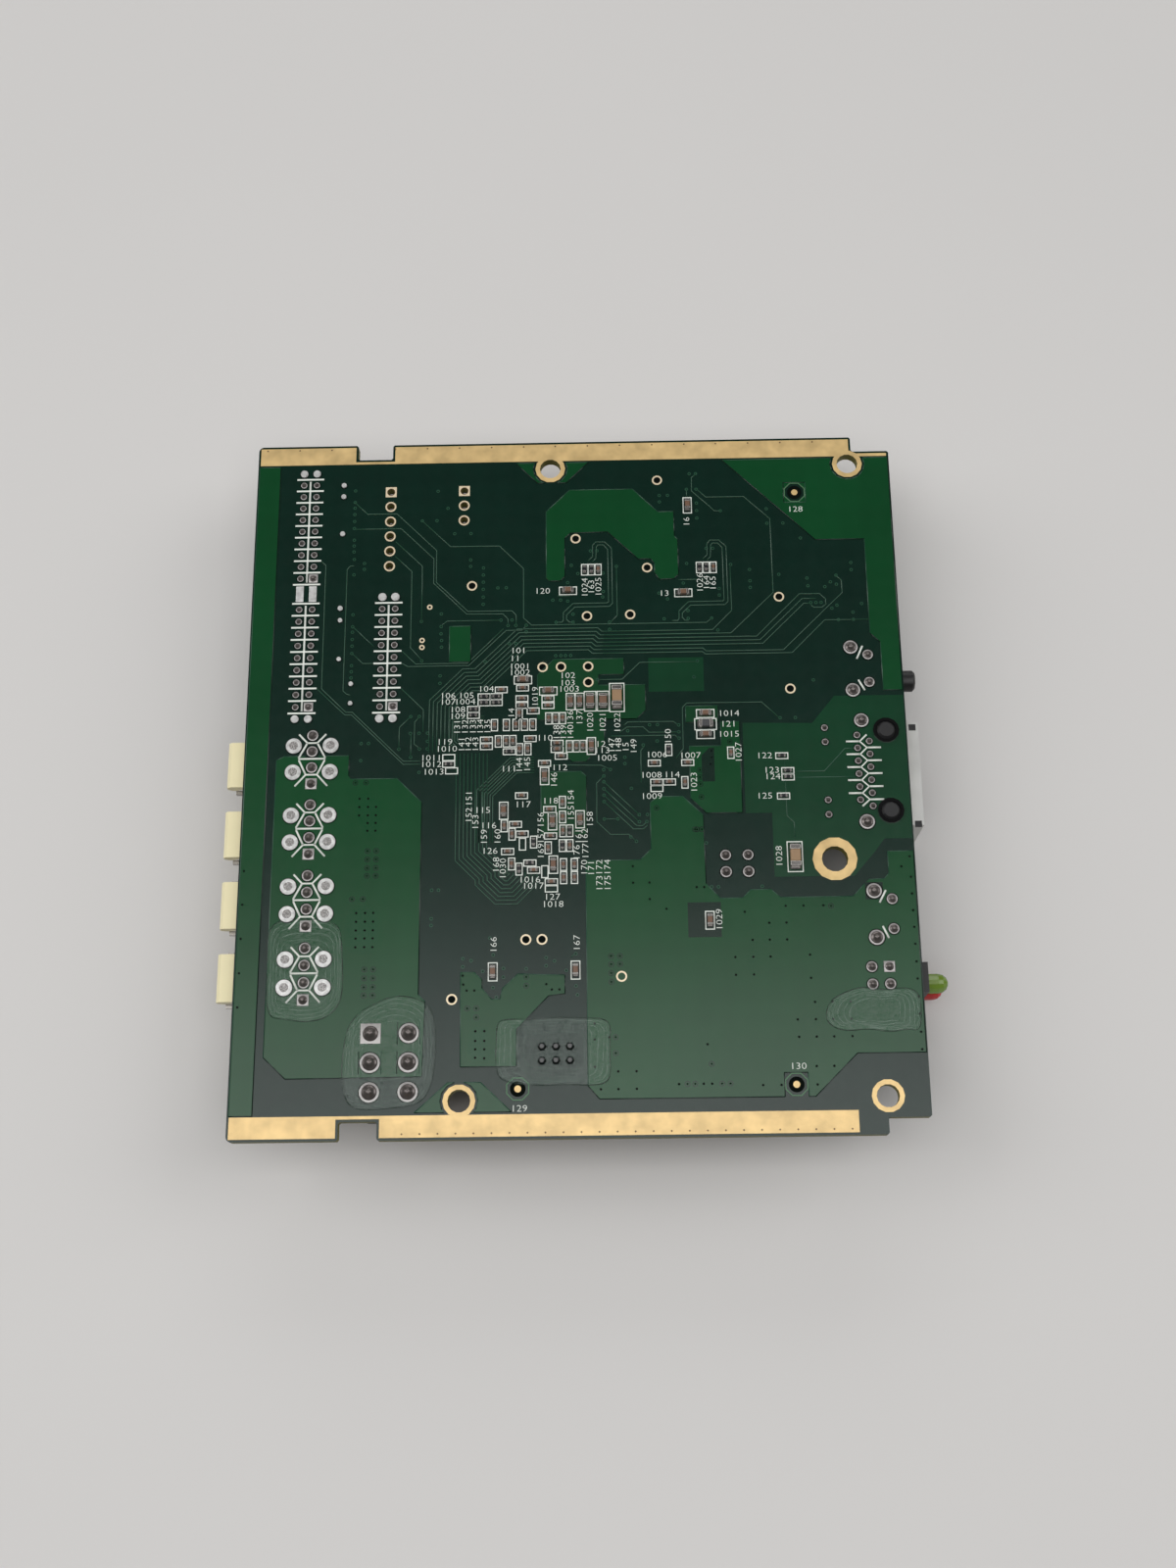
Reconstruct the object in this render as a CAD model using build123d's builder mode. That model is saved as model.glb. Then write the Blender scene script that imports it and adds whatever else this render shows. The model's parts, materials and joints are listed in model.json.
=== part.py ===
"""Control board lying component side down, its soldered side up.

The row's origin is under the middle of the whole object, on the surface that it stands on.
+X runs to the network jack, +Y to the far gold strip and +Z out of the soldered side.
All sizes are in millimetres.
"""

import os
from math import cos, radians, sin

from build123d import *

os.makedirs("parts", exist_ok=True)

# Board
board_width = 99.7
board_length = 109.1
board_thickness = 1.6
outer_corner_radius = 0.8
cut_corner = 0.25
notch_width = 5.5
notch_middle = 18.5
far_notch_depth = 2.55
near_notch_depth = 2.65
far_step_width = 5.9
far_step_depth = 2.5
near_step_width = 6.1
near_step_depth = 2.4

# How far pieces stand out past the board's left and right edges
fan_lock_reach = 2.9
lamp_reach = 4.75

# Heights under the board's component face, of the pieces that it can rest on
jack_height = 13.5
power_header_height = 12.8
lamp_block_height = 12.8
can_height = 12.5

# Board edges and faces in the row's frame
left_edge = fan_lock_reach - (board_width + fan_lock_reach + lamp_reach) / 2
right_edge = left_edge + board_width
near_edge = -board_length / 2
far_edge = near_edge + board_length
component_face = max(jack_height, power_header_height, lamp_block_height, can_height)
solder_face = component_face + board_thickness

# The designer's grid starts this far in from the left and near edges
datum_x = left_edge + 0.1
datum_y = near_edge + 0.3

# Copper, print and solder
copper_thickness = 0.05
strip_inset = 0.35
far_strip_depth = 2.95
near_strip_depth = 3.1
near_strip_right_gap = 10.3
ring_margin = 0.75
copper_gap = 0.35
pin_fit = 0.02
chip_stand_off = 0.06
ring_sides = 14

# Fixing holes
fixing_hole_diameter = 3.2
earth_hole_diameter = 3.8
earth_ring_margin = 1.4
far_left_hole = (datum_x + 46.2, far_edge - 4.65)
far_right_hole = (right_edge - 6.6, far_edge - 4.65)
near_left_hole = (datum_x + 32.85, near_edge + 5.4)
near_right_hole = (right_edge - 6.0, near_edge + 5.4)
earth_hole = (right_edge - 11.75, datum_y + 39.8)
small_holes = [far_left_hole, far_right_hole, near_left_hole, near_right_hole]

# Long headers, two rows of nine pins each
header_pitch = 2.0
header_rows = 9
header_pin_width = 0.5
header_pad_diameter = 1.35
header_housing_width = 7.6
header_housing_length = 20.6
header_housing_height = 8.2
header_wall = 0.9
header_floor = 2.2
header_pin_reach = 6.6
header_key_width = 4.0
header_key_depth = 5.0
header_centres = {
    "a": (datum_x + 8.3, far_edge - 14.84),
    "b": (datum_x + 8.3, far_edge - 36.03),
    "c": (datum_x + 21.15, far_edge - 36.12),
}

# Fan headers, four pins each, turned to look out of the left edge
fan_pitch = 2.54
fan_pin_count = 4
fan_pin_width = 0.64
fan_pad_diameter = 1.7
fan_tail_x = left_edge + 10.23
fan_group_pitch = 10.91
fan_header_gap = 1.02
fan_pin_depth = 2.7
fan_tip_reach = 1.8
fan_wafer_thickness = 3.2
fan_wafer_height = 6.2
fan_wafer_clearance = 2.0
fan_lock_width = 7.1
fan_lock_thickness = 1.3
fan_lock_gap = 0.4
fan_lock_bump = 0.6
fan_wafer_width = fan_pitch * fan_pin_count
header_b_near_end = header_centres["b"][1] - header_housing_length / 2
fan_first_y = header_b_near_end - fan_header_gap - fan_wafer_width / 2
fan_header_ys = [fan_first_y - fan_group_pitch * number for number in range(4)]
fan_wafer_front = fan_tail_x - fan_wafer_clearance - fan_wafer_thickness

# Power header, two rows of three heavy pins
power_pitch = 4.2
power_row_pitch = 5.5
power_rows = 3
power_pin_width = 1.07
power_pad_diameter = 2.9
power_housing_width = 9.6
power_housing_length = 13.8
power_cell_width = 4.3
power_cell_length = 3.4
power_cell_depth = 10.2
power_pin_reach = 10.4
power_latch_width = 3.6
power_latch_depth = 1.2
power_latch_height = 4.4
power_latch_drop = 1.5
power_latch_z = component_face - power_header_height + power_latch_drop
power_centre = (datum_x + 22.8, near_edge + 10.96)

# Signal header and jumper headers
signal_pitch = 2.0
signal_rows = 3
signal_centre = (datum_x + 46.65, near_edge + 11.97)
signal_housing_length = 6.0
signal_housing_width = 4.0
signal_housing_height = 2.0
signal_pin_reach = 6.0
jumper_pitch = 2.54
jumper_pad_diameter = 1.65
jumper_housing_width = 2.5
jumper_housing_height = 2.5
jumper_pin_reach = 8.5
jumper_y = datum_y + 39.33
jumper_xs = [datum_x + 71.8, datum_x + 75.1]

# Network jack
jack_width = 16.2
jack_overhang = 2.0
jack_depth = 16.3
jack_sheet = 0.3
jack_middle_y = datum_y + 53.35
jack_front = right_edge + jack_overhang
jack_back = jack_front - jack_depth
jack_port_width = 11.8
jack_port_height = 8.2
jack_port_depth = 13.4
jack_port_top_gap = 2.9
jack_latch_width = 6.2
jack_latch_height = 1.5
jack_peg_diameter = 2.9
jack_peg_pitch = 12.6
jack_peg_x = right_edge - 3.1
jack_peg_reach = 0.5
jack_pin_width = 0.5
jack_pin_pitch = 2.03
jack_pin_count = 6
jack_tail_x = right_edge - 6.7
jack_tail_width = 1.4
jack_contact_count = 8
jack_contact_pitch = 1.02
jack_contact_width = 0.4
jack_contact_thickness = 0.35
jack_contact_drop = 2.6
jack_contact_length = 9.0
jack_lamp_pin_offsets = [6.85, 4.6, -4.5, -6.75]

# Side push buttons
button_leg_pitch = 6.95
button_pin_pitch = 4.45
button_pin_width = 0.7
button_leg_width = 1.0
button_leg_thickness = 0.5
button_leg_step = 2.55
button_leg_pad_diameter = 2.25
button_housing_width = 6.2
button_housing_height = 7.3
button_housing_thickness = 3.4
button_bracket_sheet = 0.3
button_plunger_diameter = 3.3
button_plunger_depth = 4.3
button_plunger_seat = 1.6
button_clearance = 0.1
button_travel = 0.25
button_pocket_depth = button_plunger_seat + button_travel + button_clearance
button_front_step = 1.2
button_ear_length = 2.4
button_leg_reach = 3.0
button_tip_chamfer = 0.35
far_button = {"pins": (right_edge - 5.15, datum_y + 69.65), "tip": right_edge + 2.65}
near_button = {"pins": (right_edge - 3.75, datum_y + 31.4), "tip": right_edge + 0.5}
buttons = {"far": far_button, "near": near_button}

# Lamp block with two lamps, one over the other
lamp_middle = (right_edge - 6.0, datum_y + 22.35)
lamp_pin_pitch = 2.54
lamp_pin_width = 0.5
lamp_pad_diameter = 1.6
lamp_block_width = 4.4
lamp_block_front = right_edge + 1.1
lamp_block_depth = 9.9
lamp_diameter = 3.0
lamp_green_depth = 5.4
lamp_red_depth = 10.5
lamp_seat = 3.0
lamp_fit = 0.02
lamp_tip = right_edge + lamp_reach

# Chips on the soldered side: length, width and height by case size
chip_sizes = {
    "tiny": (1.0, 0.5, 0.5),
    "small": (1.6, 0.8, 0.8),
    "medium": (2.0, 1.25, 0.9),
    "large": (3.2, 1.6, 1.2),
}


def from_datum(points):
    """Move grid points to the row's frame."""
    return [(datum_x + x, datum_y + y) for x, y in points]


def grid(centre, columns, rows, column_pitch, row_pitch):
    """Centres of a grid of pins about a middle point."""
    return [
        (
            centre[0] + (column - (columns - 1) / 2) * column_pitch,
            centre[1] + (row - (rows - 1) / 2) * row_pitch,
        )
        for column in range(columns)
        for row in range(rows)
    ]


def spots(points, height):
    """Points of the plan, lifted to a height."""
    return [(x, y, height) for x, y in points]


def finish(builder, name):
    """Label a finished piece and write it."""
    builder.part.label = name
    export_step(builder.part, f"parts/{name}.step")


# Pin places, by connector
header_pins = {
    name: grid(centre, 2, header_rows, header_pitch, header_pitch)
    for name, centre in header_centres.items()
}
fan_pins = [grid((fan_tail_x, y), 1, fan_pin_count, fan_pitch, fan_pitch) for y in fan_header_ys]
power_pins = grid(power_centre, 2, power_rows, power_row_pitch, power_pitch)
signal_pins = grid(signal_centre, signal_rows, 2, signal_pitch, signal_pitch)
jumper_pins = [
    pin for x in jumper_xs for pin in grid((x, jumper_y), 1, 2, jumper_pitch, jumper_pitch)
]
jack_left_pins = grid((right_edge - 7.5, jack_middle_y + 0.53), 1, jack_pin_count, 1, jack_pin_pitch)
jack_right_pins = grid((right_edge - 5.7, jack_middle_y - 0.45), 1, jack_pin_count, 1, jack_pin_pitch)
jack_lamp_pins = [(right_edge - 12.3, jack_middle_y + offset) for offset in jack_lamp_pin_offsets]
jack_signal_pins = jack_left_pins + jack_right_pins + jack_lamp_pins
jack_tail_offset = (jack_width - jack_sheet) / 2
jack_tails = [(jack_tail_x, jack_middle_y + side * jack_tail_offset) for side in (1, -1)]
jack_pegs = [(jack_peg_x, jack_middle_y + side * jack_peg_pitch / 2) for side in (1, -1)]
button_pins = {
    name: grid(button["pins"], 1, 2, 1, button_pin_pitch) for name, button in buttons.items()
}
button_legs = {
    name: grid((button["pins"][0] - button_leg_step, button["pins"][1]), 1, 2, 1, button_leg_pitch)
    for name, button in buttons.items()
}
lamp_pins = grid(lamp_middle, 2, 2, lamp_pin_pitch, lamp_pin_pitch)
all_button_pins = button_pins["far"] + button_pins["near"]
all_button_legs = button_legs["far"] + button_legs["near"]
all_header_pins = header_pins["a"] + header_pins["b"] + header_pins["c"]
all_fan_pins = [pin for group in fan_pins for pin in group]

# Plated holes that hold no pin, in two upright rows
spare_pitch = 2.54
spare_row_top = far_edge - 8.25
spare_rows = {datum_x + 21.1: 6, datum_x + 32.65: 3}
spare_holes = [
    (x, spare_row_top - spare_pitch * number) for x, count in spare_rows.items() for number in range(count)
]
spare_hole_diameter = 1.05
hole_sides = 6

# Cross-section of each pin where it goes through the board
pin_holes = [
    (all_header_pins, header_pin_width, header_pin_width),
    (all_fan_pins, fan_pin_width, fan_pin_width),
    (power_pins, power_pin_width, power_pin_width),
    (signal_pins, header_pin_width, header_pin_width),
    (jumper_pins, fan_pin_width, fan_pin_width),
    (jack_signal_pins, jack_pin_width, jack_pin_width),
    (jack_tails, jack_tail_width, jack_sheet),
    (all_button_pins, button_pin_width, button_pin_width),
    (all_button_legs, button_leg_thickness, button_leg_width),
    (lamp_pins, lamp_pin_width, lamp_pin_width),
]
far_strip_length = board_width - far_step_width - 2 * strip_inset
near_strip_length = board_width - near_strip_right_gap - strip_inset
far_tail_length = far_step_width - 2 * strip_inset
far_tail_depth = 0.5
notch_cut_width = notch_width + 2 * strip_inset

# Board with its notches, fixing holes, plated holes and one hole for each pin
with BuildPart() as board:
    with BuildSketch(Plane.XY.offset(component_face)) as board_outline:
        with Locations((left_edge, near_edge)):
            Rectangle(board_width, board_length, align=(Align.MIN, Align.MIN))
        fillet(board_outline.vertices(), outer_corner_radius)
        with Locations((datum_x + notch_middle, far_edge)):
            Rectangle(notch_width, 2 * far_notch_depth, mode=Mode.SUBTRACT)
        with Locations((datum_x + notch_middle, near_edge)):
            Rectangle(notch_width, 2 * near_notch_depth, mode=Mode.SUBTRACT)
        with Locations((right_edge, far_edge)):
            Rectangle(2 * far_step_width, 2 * far_step_depth, mode=Mode.SUBTRACT)
        with Locations((right_edge, near_edge)):
            Rectangle(2 * near_step_width, 2 * near_step_depth, mode=Mode.SUBTRACT)
        far_cuts = board_outline.vertices().filter_by(lambda v: v.Y > far_edge - far_notch_depth - 0.01)
        chamfer(far_cuts.filter_by(lambda v: v.X > left_edge + outer_corner_radius + 0.1), cut_corner)
        near_cuts = board_outline.vertices().filter_by(lambda v: v.Y < near_edge + near_notch_depth + 0.01)
        chamfer(near_cuts.filter_by(lambda v: v.X > left_edge + outer_corner_radius + 0.1), cut_corner)
    extrude(amount=board_thickness)
    with BuildSketch(Plane.XY.offset(component_face)):
        with Locations(*small_holes):
            Circle(fixing_hole_diameter / 2)
        with Locations(earth_hole):
            Circle(earth_hole_diameter / 2)
        with Locations(*jack_pegs):
            RegularPolygon(jack_peg_diameter / 2 + pin_fit, ring_sides)
        with Locations(*spare_holes):
            RegularPolygon(spare_hole_diameter / 2, hole_sides)
    extrude(amount=board_thickness, mode=Mode.SUBTRACT)
    for pins, width, depth in pin_holes:
        with BuildSketch(Plane.XY.offset(component_face)):
            with Locations(*pins):
                Rectangle(width, depth)
        extrude(amount=board_thickness, mode=Mode.SUBTRACT)
finish(board, "board")

# Bare gold strips on both faces, with the fixing holes' rings
strip_sides = {"top": solder_face, "under": component_face - copper_thickness}
with BuildPart() as edge_strips:
    for height in strip_sides.values():
        with BuildSketch(Plane.XY.offset(height)):
            with Locations((left_edge + strip_inset, far_edge - strip_inset)):
                Rectangle(far_strip_length, far_strip_depth, align=(Align.MIN, Align.MAX))
            with Locations((left_edge + strip_inset, near_edge + strip_inset)):
                Rectangle(near_strip_length, near_strip_depth, align=(Align.MIN, Align.MIN))
            with Locations((right_edge - strip_inset, far_edge - far_step_depth - strip_inset)):
                Rectangle(far_tail_length, far_tail_depth, align=(Align.MAX, Align.MAX))
            with Locations(*small_holes):
                RegularPolygon(fixing_hole_diameter / 2 + ring_margin, ring_sides)
            with Locations(earth_hole):
                RegularPolygon(earth_hole_diameter / 2 + earth_ring_margin, ring_sides)
            with Locations((datum_x + notch_middle, far_edge)):
                Rectangle(notch_cut_width, 2 * (far_notch_depth + strip_inset), mode=Mode.SUBTRACT)
            with Locations((datum_x + notch_middle, near_edge)):
                Rectangle(notch_cut_width, 2 * (near_notch_depth + strip_inset), mode=Mode.SUBTRACT)
            with Locations(*small_holes):
                RegularPolygon(fixing_hole_diameter / 2, ring_sides, major_radius=False, mode=Mode.SUBTRACT)
            with Locations(earth_hole):
                RegularPolygon(earth_hole_diameter / 2, ring_sides, major_radius=False, mode=Mode.SUBTRACT)
        extrude(amount=copper_thickness)
finish(edge_strips, "edge_strips")

# Wide copper fields on the soldered side, with room cut for each pad
field_right = board_width - 0.3
field_far = board_length - 3.9
left_field = [(0.15, 3.3), (3.5, 3.3), (3.5, field_far), (0.15, field_far)]
far_right_field = [
    (field_right - 26.1, field_far), (field_right - 12.0, field_far - 14.0),
    (field_right - 4.4, field_far - 14.0), (field_right - 4.4, 75.4), (field_right - 2.9, 73.9),
    (field_right - 2.9, 66.1), (field_right, 66.1), (field_right, field_far),
]
arch_depths = [
    (45.5, 8.5), (49.2, 4.8), (59.1, 4.8), (63.0, 8.8), (65.5, 8.8), (65.5, 13.0), (66.0, 13.6), (66.0, 19.5),
    (65.3, 20.2), (63.0, 20.3), (62.3, 19.2), (62.3, 17.6), (61.7, 16.8), (59.8, 16.8), (55.1, 12.1),
    (49.3, 12.2), (48.4, 13.1), (48.4, 19.5), (47.7, 20.3), (46.0, 20.3), (45.5, 19.8),
]
arch_field = [(x, field_far - depth) for x, depth in arch_depths]
far_hole_field = [
    (40.8, field_far), (44.2, field_far - 3.5), (48.7, field_far - 3.5), (52.2, field_far),
]
patch_field = [(30.6, 71.7), (33.9, 71.7), (33.9, 77.6), (30.6, 77.6)]
fan_field = [
    (4.8, 56.3), (5.9, 56.9), (15.75, 56.9), (15.75, 53.7), (16.1, 53.2), (23.0, 53.2), (26.8, 49.4),
    (26.8, 20.4), (27.8, 19.4), (27.5, 8.6), (8.0, 8.5), (4.75, 11.6),
]
lower_right_field = [
    (51.2, 40.05), (59.2, 40.05), (60.85, 41.7), (60.85, 48.8), (61.9, 49.75), (65.7, 49.75), (68.7, 46.8),
    (68.8, 36.3), (70.8, 34.1), (74.1, 34.1), (75.3, 35.3), (78.3, 35.3), (79.6, 34.1),
    (field_right - 9.2, 34.1), (field_right - 6.8, 36.6), (field_right - 4.5, 36.7),
    (field_right - 3.8, 37.5), (field_right - 3.8, 40.85), (field_right, 40.85), (field_right, 11.2),
    (field_right - 9.8, 11.2), (field_right - 16.0, 5.15), (52.8, 5.15), (51.2, 7.0),
]
middle_field = [
    (66.9, 49.4), (69.2, 47.1), (74.55, 47.1), (74.55, 61.4), (71.7, 61.4), (71.7, 57.6), (66.9, 57.6),
]
near_field = [
    (32.9, 23.6), (34.8, 23.6), (36.0, 22.5), (36.0, 21.2), (37.4, 19.6), (38.6, 19.6), (39.0, 21.2),
    (41.2, 23.25), (48.0, 23.0), (48.0, 20.3), (45.6, 20.0), (41.0, 15.2), (41.0, 9.9), (33.0, 9.9),
]
near_hole_field = [(26.5, 3.5), (31.2, 7.7), (35.9, 7.7), (40.3, 3.5)]
copper_fields = [
    left_field, far_right_field, arch_field, far_hole_field, patch_field, fan_field, lower_right_field,
    middle_field, near_field, near_hole_field,
]

# Solder at each pin: where, the pad's width, the fillet's height and its number of sides
fine_pad_sides = 4
header_solder_height = 0.55
fan_solder_height = 0.7
power_solder_height = 1.1
solder_slope = 25
square_pins = [
    header_pins["a"][header_rows], header_pins["b"][header_rows], header_pins["c"][header_rows],
    *[group[0] for group in fan_pins], power_pins[power_rows - 1], lamp_pins[3],
]
solder_groups = [
    (all_header_pins, header_pad_diameter, header_solder_height, fine_pad_sides),
    (all_fan_pins, fan_pad_diameter, fan_solder_height, hole_sides),
    (power_pins, power_pad_diameter, power_solder_height, hole_sides),
    (jumper_pins, jumper_pad_diameter, fan_solder_height, hole_sides),
    (jack_signal_pins, header_pad_diameter, header_solder_height, fine_pad_sides),
    (jack_tails, button_leg_pad_diameter, fan_solder_height, hole_sides),
    (all_button_pins, lamp_pad_diameter, header_solder_height, hole_sides),
    (all_button_legs, button_leg_pad_diameter, fan_solder_height, hole_sides),
    (lamp_pins, lamp_pad_diameter, header_solder_height, hole_sides),
]
with BuildPart() as solder_fillets:
    for pins, pad_diameter, height, sides in solder_groups:
        with BuildSketch(Plane.XY.offset(solder_face)):
            with Locations(*[pin for pin in pins if pin not in square_pins]):
                RegularPolygon(pad_diameter / 2, sides, rotation=180 / sides)
            square_ones = [pin for pin in pins if pin in square_pins]
            if square_ones:
                with Locations(*square_ones):
                    Rectangle(pad_diameter, pad_diameter)
        extrude(amount=height, taper=solder_slope)
finish(solder_fillets, "solder_fillets")

# Black beads of sealant over the signal header's pins and the jack's pegs
signal_bead_diameter = 1.35
signal_bead_height = 0.6
peg_bead_margin = 0.5
peg_bead_height = 0.3
with BuildPart() as sealant_beads:
    with BuildSketch(Plane.XY.offset(solder_face)):
        with Locations(*signal_pins):
            RegularPolygon(signal_bead_diameter / 2, hole_sides)
    extrude(amount=signal_bead_height, taper=solder_slope)
    with BuildSketch(Plane.XY.offset(solder_face)):
        with Locations(*jack_pegs):
            RegularPolygon(jack_peg_diameter / 2 + peg_bead_margin, ring_sides)
            RegularPolygon(jack_peg_diameter / 2 + pin_fit, ring_sides, mode=Mode.SUBTRACT)
    extrude(amount=peg_bead_height)
finish(sealant_beads, "sealant_beads")

# Flat tinned pads that draw solder away from the last pins
thief_thickness = 0.1
disc_sides = 8
thief_disc_diameter = 2.35
thief_dot_diameter = 1.25
thief_disc_offset = 2.78
thief_disc_rows = [2.16, -1.99]
thief_dot_offset = 9.95
long_pad_size = (1.15, 2.55)
test_dot_diameter = 0.75
test_dots = from_datum(
    [
        (13.65, 101.8), (13.65, 99.85), (13.65, 93.45), (13.65, 80.85), (13.7, 78.85), (13.7, 72.45),
        (15.65, 68.4), (15.65, 65.25),
    ]
)
thief_discs = [
    (fan_tail_x + side * thief_disc_offset, y + row)
    for y in fan_header_ys
    for side in (1, -1)
    for row in thief_disc_rows
]
thief_ends = {"a": [1], "b": [-1], "c": [1, -1]}
thief_dots = [
    (header_centres[name][0] + side * header_pitch / 2, header_centres[name][1] + end * thief_dot_offset)
    for name, ends in thief_ends.items()
    for end in ends
    for side in (1, -1)
]
long_pads = [
    (header_centres["a"][0] + side * header_pitch / 2, (header_centres["a"][1] + header_centres["b"][1]) / 2)
    for side in (1, -1)
]
with BuildPart() as thief_pads:
    with BuildSketch(Plane.XY.offset(solder_face)):
        with Locations(*thief_discs):
            RegularPolygon(thief_disc_diameter / 2, disc_sides)
        with Locations(*thief_dots):
            RegularPolygon(thief_dot_diameter / 2, hole_sides)
        with Locations(*test_dots):
            RegularPolygon(test_dot_diameter / 2, hole_sides)
        with Locations(*long_pads):
            Rectangle(*long_pad_size)
    extrude(amount=thief_thickness)
finish(thief_pads, "thief_pads")

# Bare gold dots that the assembly machine aims by
aiming_dots = from_datum([(84.5, 99.35), (41.2, 6.7), (80.75, 6.85)])
aiming_dot_diameter = 1.1
with BuildPart() as aiming_marks:
    with BuildSketch(Plane.XY.offset(solder_face)):
        with Locations(*aiming_dots):
            RegularPolygon(aiming_dot_diameter / 2, disc_sides)
    extrude(amount=copper_thickness)
finish(aiming_marks, "aiming_marks")

# The wide copper fields stop short of pads, holes and aiming marks
aiming_window = 3.4
disc_window = thief_disc_diameter + copper_gap
signal_window_width = 7.0
signal_window_length = 5.0
with BuildPart() as copper_pours:
    with BuildSketch(Plane.XY.offset(solder_face)):
        for field in copper_fields:
            with BuildLine():
                Polyline(*from_datum(field), close=True)
            make_face()
        for pins, pad_diameter, height, sides in solder_groups:
            with Locations(*pins):
                Rectangle(pad_diameter + copper_gap, pad_diameter + copper_gap, mode=Mode.SUBTRACT)
        with Locations(*thief_discs):
            Rectangle(disc_window, disc_window, mode=Mode.SUBTRACT)
        with Locations(signal_centre):
            Rectangle(signal_window_width, signal_window_length, mode=Mode.SUBTRACT)
        with Locations(*small_holes):
            RegularPolygon(
                fixing_hole_diameter / 2 + ring_margin + copper_gap, ring_sides, mode=Mode.SUBTRACT,
            )
        with Locations(*aiming_dots):
            Rectangle(aiming_window, aiming_window, mode=Mode.SUBTRACT)
    extrude(amount=copper_thickness)
finish(copper_pours, "copper_pours")

# White printed lines between the pins of the long headers
print_width = 0.27
print_thickness = 0.03
print_height = solder_face + copper_thickness
comb_line_length = 4.25
with BuildPart() as silk_lines:
    for centre in header_centres.values():
        with BuildSketch(Plane.XY.offset(print_height)):
            with Locations(*grid(centre, 1, header_rows + 1, 1, header_pitch)):
                Rectangle(comb_line_length, print_width)
        extrude(amount=print_thickness)
finish(silk_lines, "silk_lines")

# Long header housings, open at the bottom, with a key slot in one side
header_housing_bottom = component_face - header_housing_height
for name, centre in header_centres.items():
    with BuildPart() as header_housing:
        with BuildSketch(Plane.XY.offset(component_face)):
            with Locations(centre):
                Rectangle(header_housing_width, header_housing_length)
            with Locations(*header_pins[name]):
                Rectangle(header_pin_width, header_pin_width, mode=Mode.SUBTRACT)
        extrude(amount=-header_housing_height)
        with BuildSketch(Plane.XY.offset(component_face - header_floor)):
            with Locations(centre):
                Rectangle(header_housing_width - 2 * header_wall, header_housing_length - 2 * header_wall)
        extrude(amount=header_floor - header_housing_height, mode=Mode.SUBTRACT)
        with Locations((centre[0] + header_housing_width / 2, centre[1], header_housing_bottom)):
            Box(
                3 * header_wall, header_key_width, header_key_depth,
                align=(Align.CENTER, Align.CENTER, Align.MIN), mode=Mode.SUBTRACT,
            )
    finish(header_housing, f"header_{name}_housing")
    with BuildPart() as header_pin_set:
        with Locations(*spots(header_pins[name], solder_face)):
            Box(
                header_pin_width, header_pin_width, board_thickness + header_pin_reach,
                align=(Align.CENTER, Align.CENTER, Align.MAX),
            )
    finish(header_pin_set, f"header_{name}_pins")

# Fan headers: an upright wafer with a long lock tab close under the board, and bent pins
fan_pin_height = component_face - fan_pin_depth
fan_tab_top = component_face - fan_lock_gap
fan_tab_tip = left_edge - fan_lock_reach
fan_tip_chamfer = 0.5
fan_bump_start = 0.9
fan_bump_end = 2.3
for number, y in enumerate(fan_header_ys, start=1):
    pin_ys = [pin[1] for pin in fan_pins[number - 1]]
    with BuildPart() as fan_housing:
        with BuildSketch(Plane.XZ.offset(-y)):
            with Locations((fan_wafer_front, component_face)):
                Rectangle(fan_wafer_thickness, fan_wafer_height, align=(Align.MIN, Align.MAX))
        extrude(amount=fan_wafer_width / 2, both=True)
        with BuildSketch(Plane.XZ.offset(-y)):
            with BuildLine():
                Polyline(
                    (fan_wafer_front, fan_tab_top),
                    (fan_tab_tip + fan_tip_chamfer, fan_tab_top),
                    (fan_tab_tip, fan_tab_top - fan_tip_chamfer),
                    (fan_tab_tip, fan_tab_top - fan_lock_thickness),
                    (fan_tab_tip + fan_bump_start, fan_tab_top - fan_lock_thickness - fan_lock_bump),
                    (fan_tab_tip + fan_bump_end, fan_tab_top - fan_lock_thickness),
                    (fan_wafer_front, fan_tab_top - fan_lock_thickness),
                    close=True,
                )
            make_face()
        extrude(amount=fan_lock_width / 2, both=True)
        with Locations(*[(fan_wafer_front, pin_y, fan_pin_height) for pin_y in pin_ys]):
            Box(
                2 * fan_wafer_thickness, fan_pin_width, fan_pin_width,
                align=(Align.CENTER, Align.CENTER, Align.CENTER), mode=Mode.SUBTRACT,
            )
    finish(fan_housing, f"fan_header_{number}_housing")
    with BuildPart() as fan_pin_set:
        for pin_y in pin_ys:
            with BuildSketch(Plane.XZ.offset(-pin_y)):
                with BuildLine():
                    Polyline(
                        (fan_tail_x + fan_pin_width / 2, solder_face),
                        (fan_tail_x + fan_pin_width / 2, fan_pin_height - fan_pin_width / 2),
                        (left_edge - fan_tip_reach, fan_pin_height - fan_pin_width / 2),
                        (left_edge - fan_tip_reach, fan_pin_height + fan_pin_width / 2),
                        (fan_tail_x - fan_pin_width / 2, fan_pin_height + fan_pin_width / 2),
                        (fan_tail_x - fan_pin_width / 2, solder_face),
                        close=True,
                    )
                make_face()
            extrude(amount=fan_pin_width / 2, both=True)
    finish(fan_pin_set, f"fan_header_{number}_pins")

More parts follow.
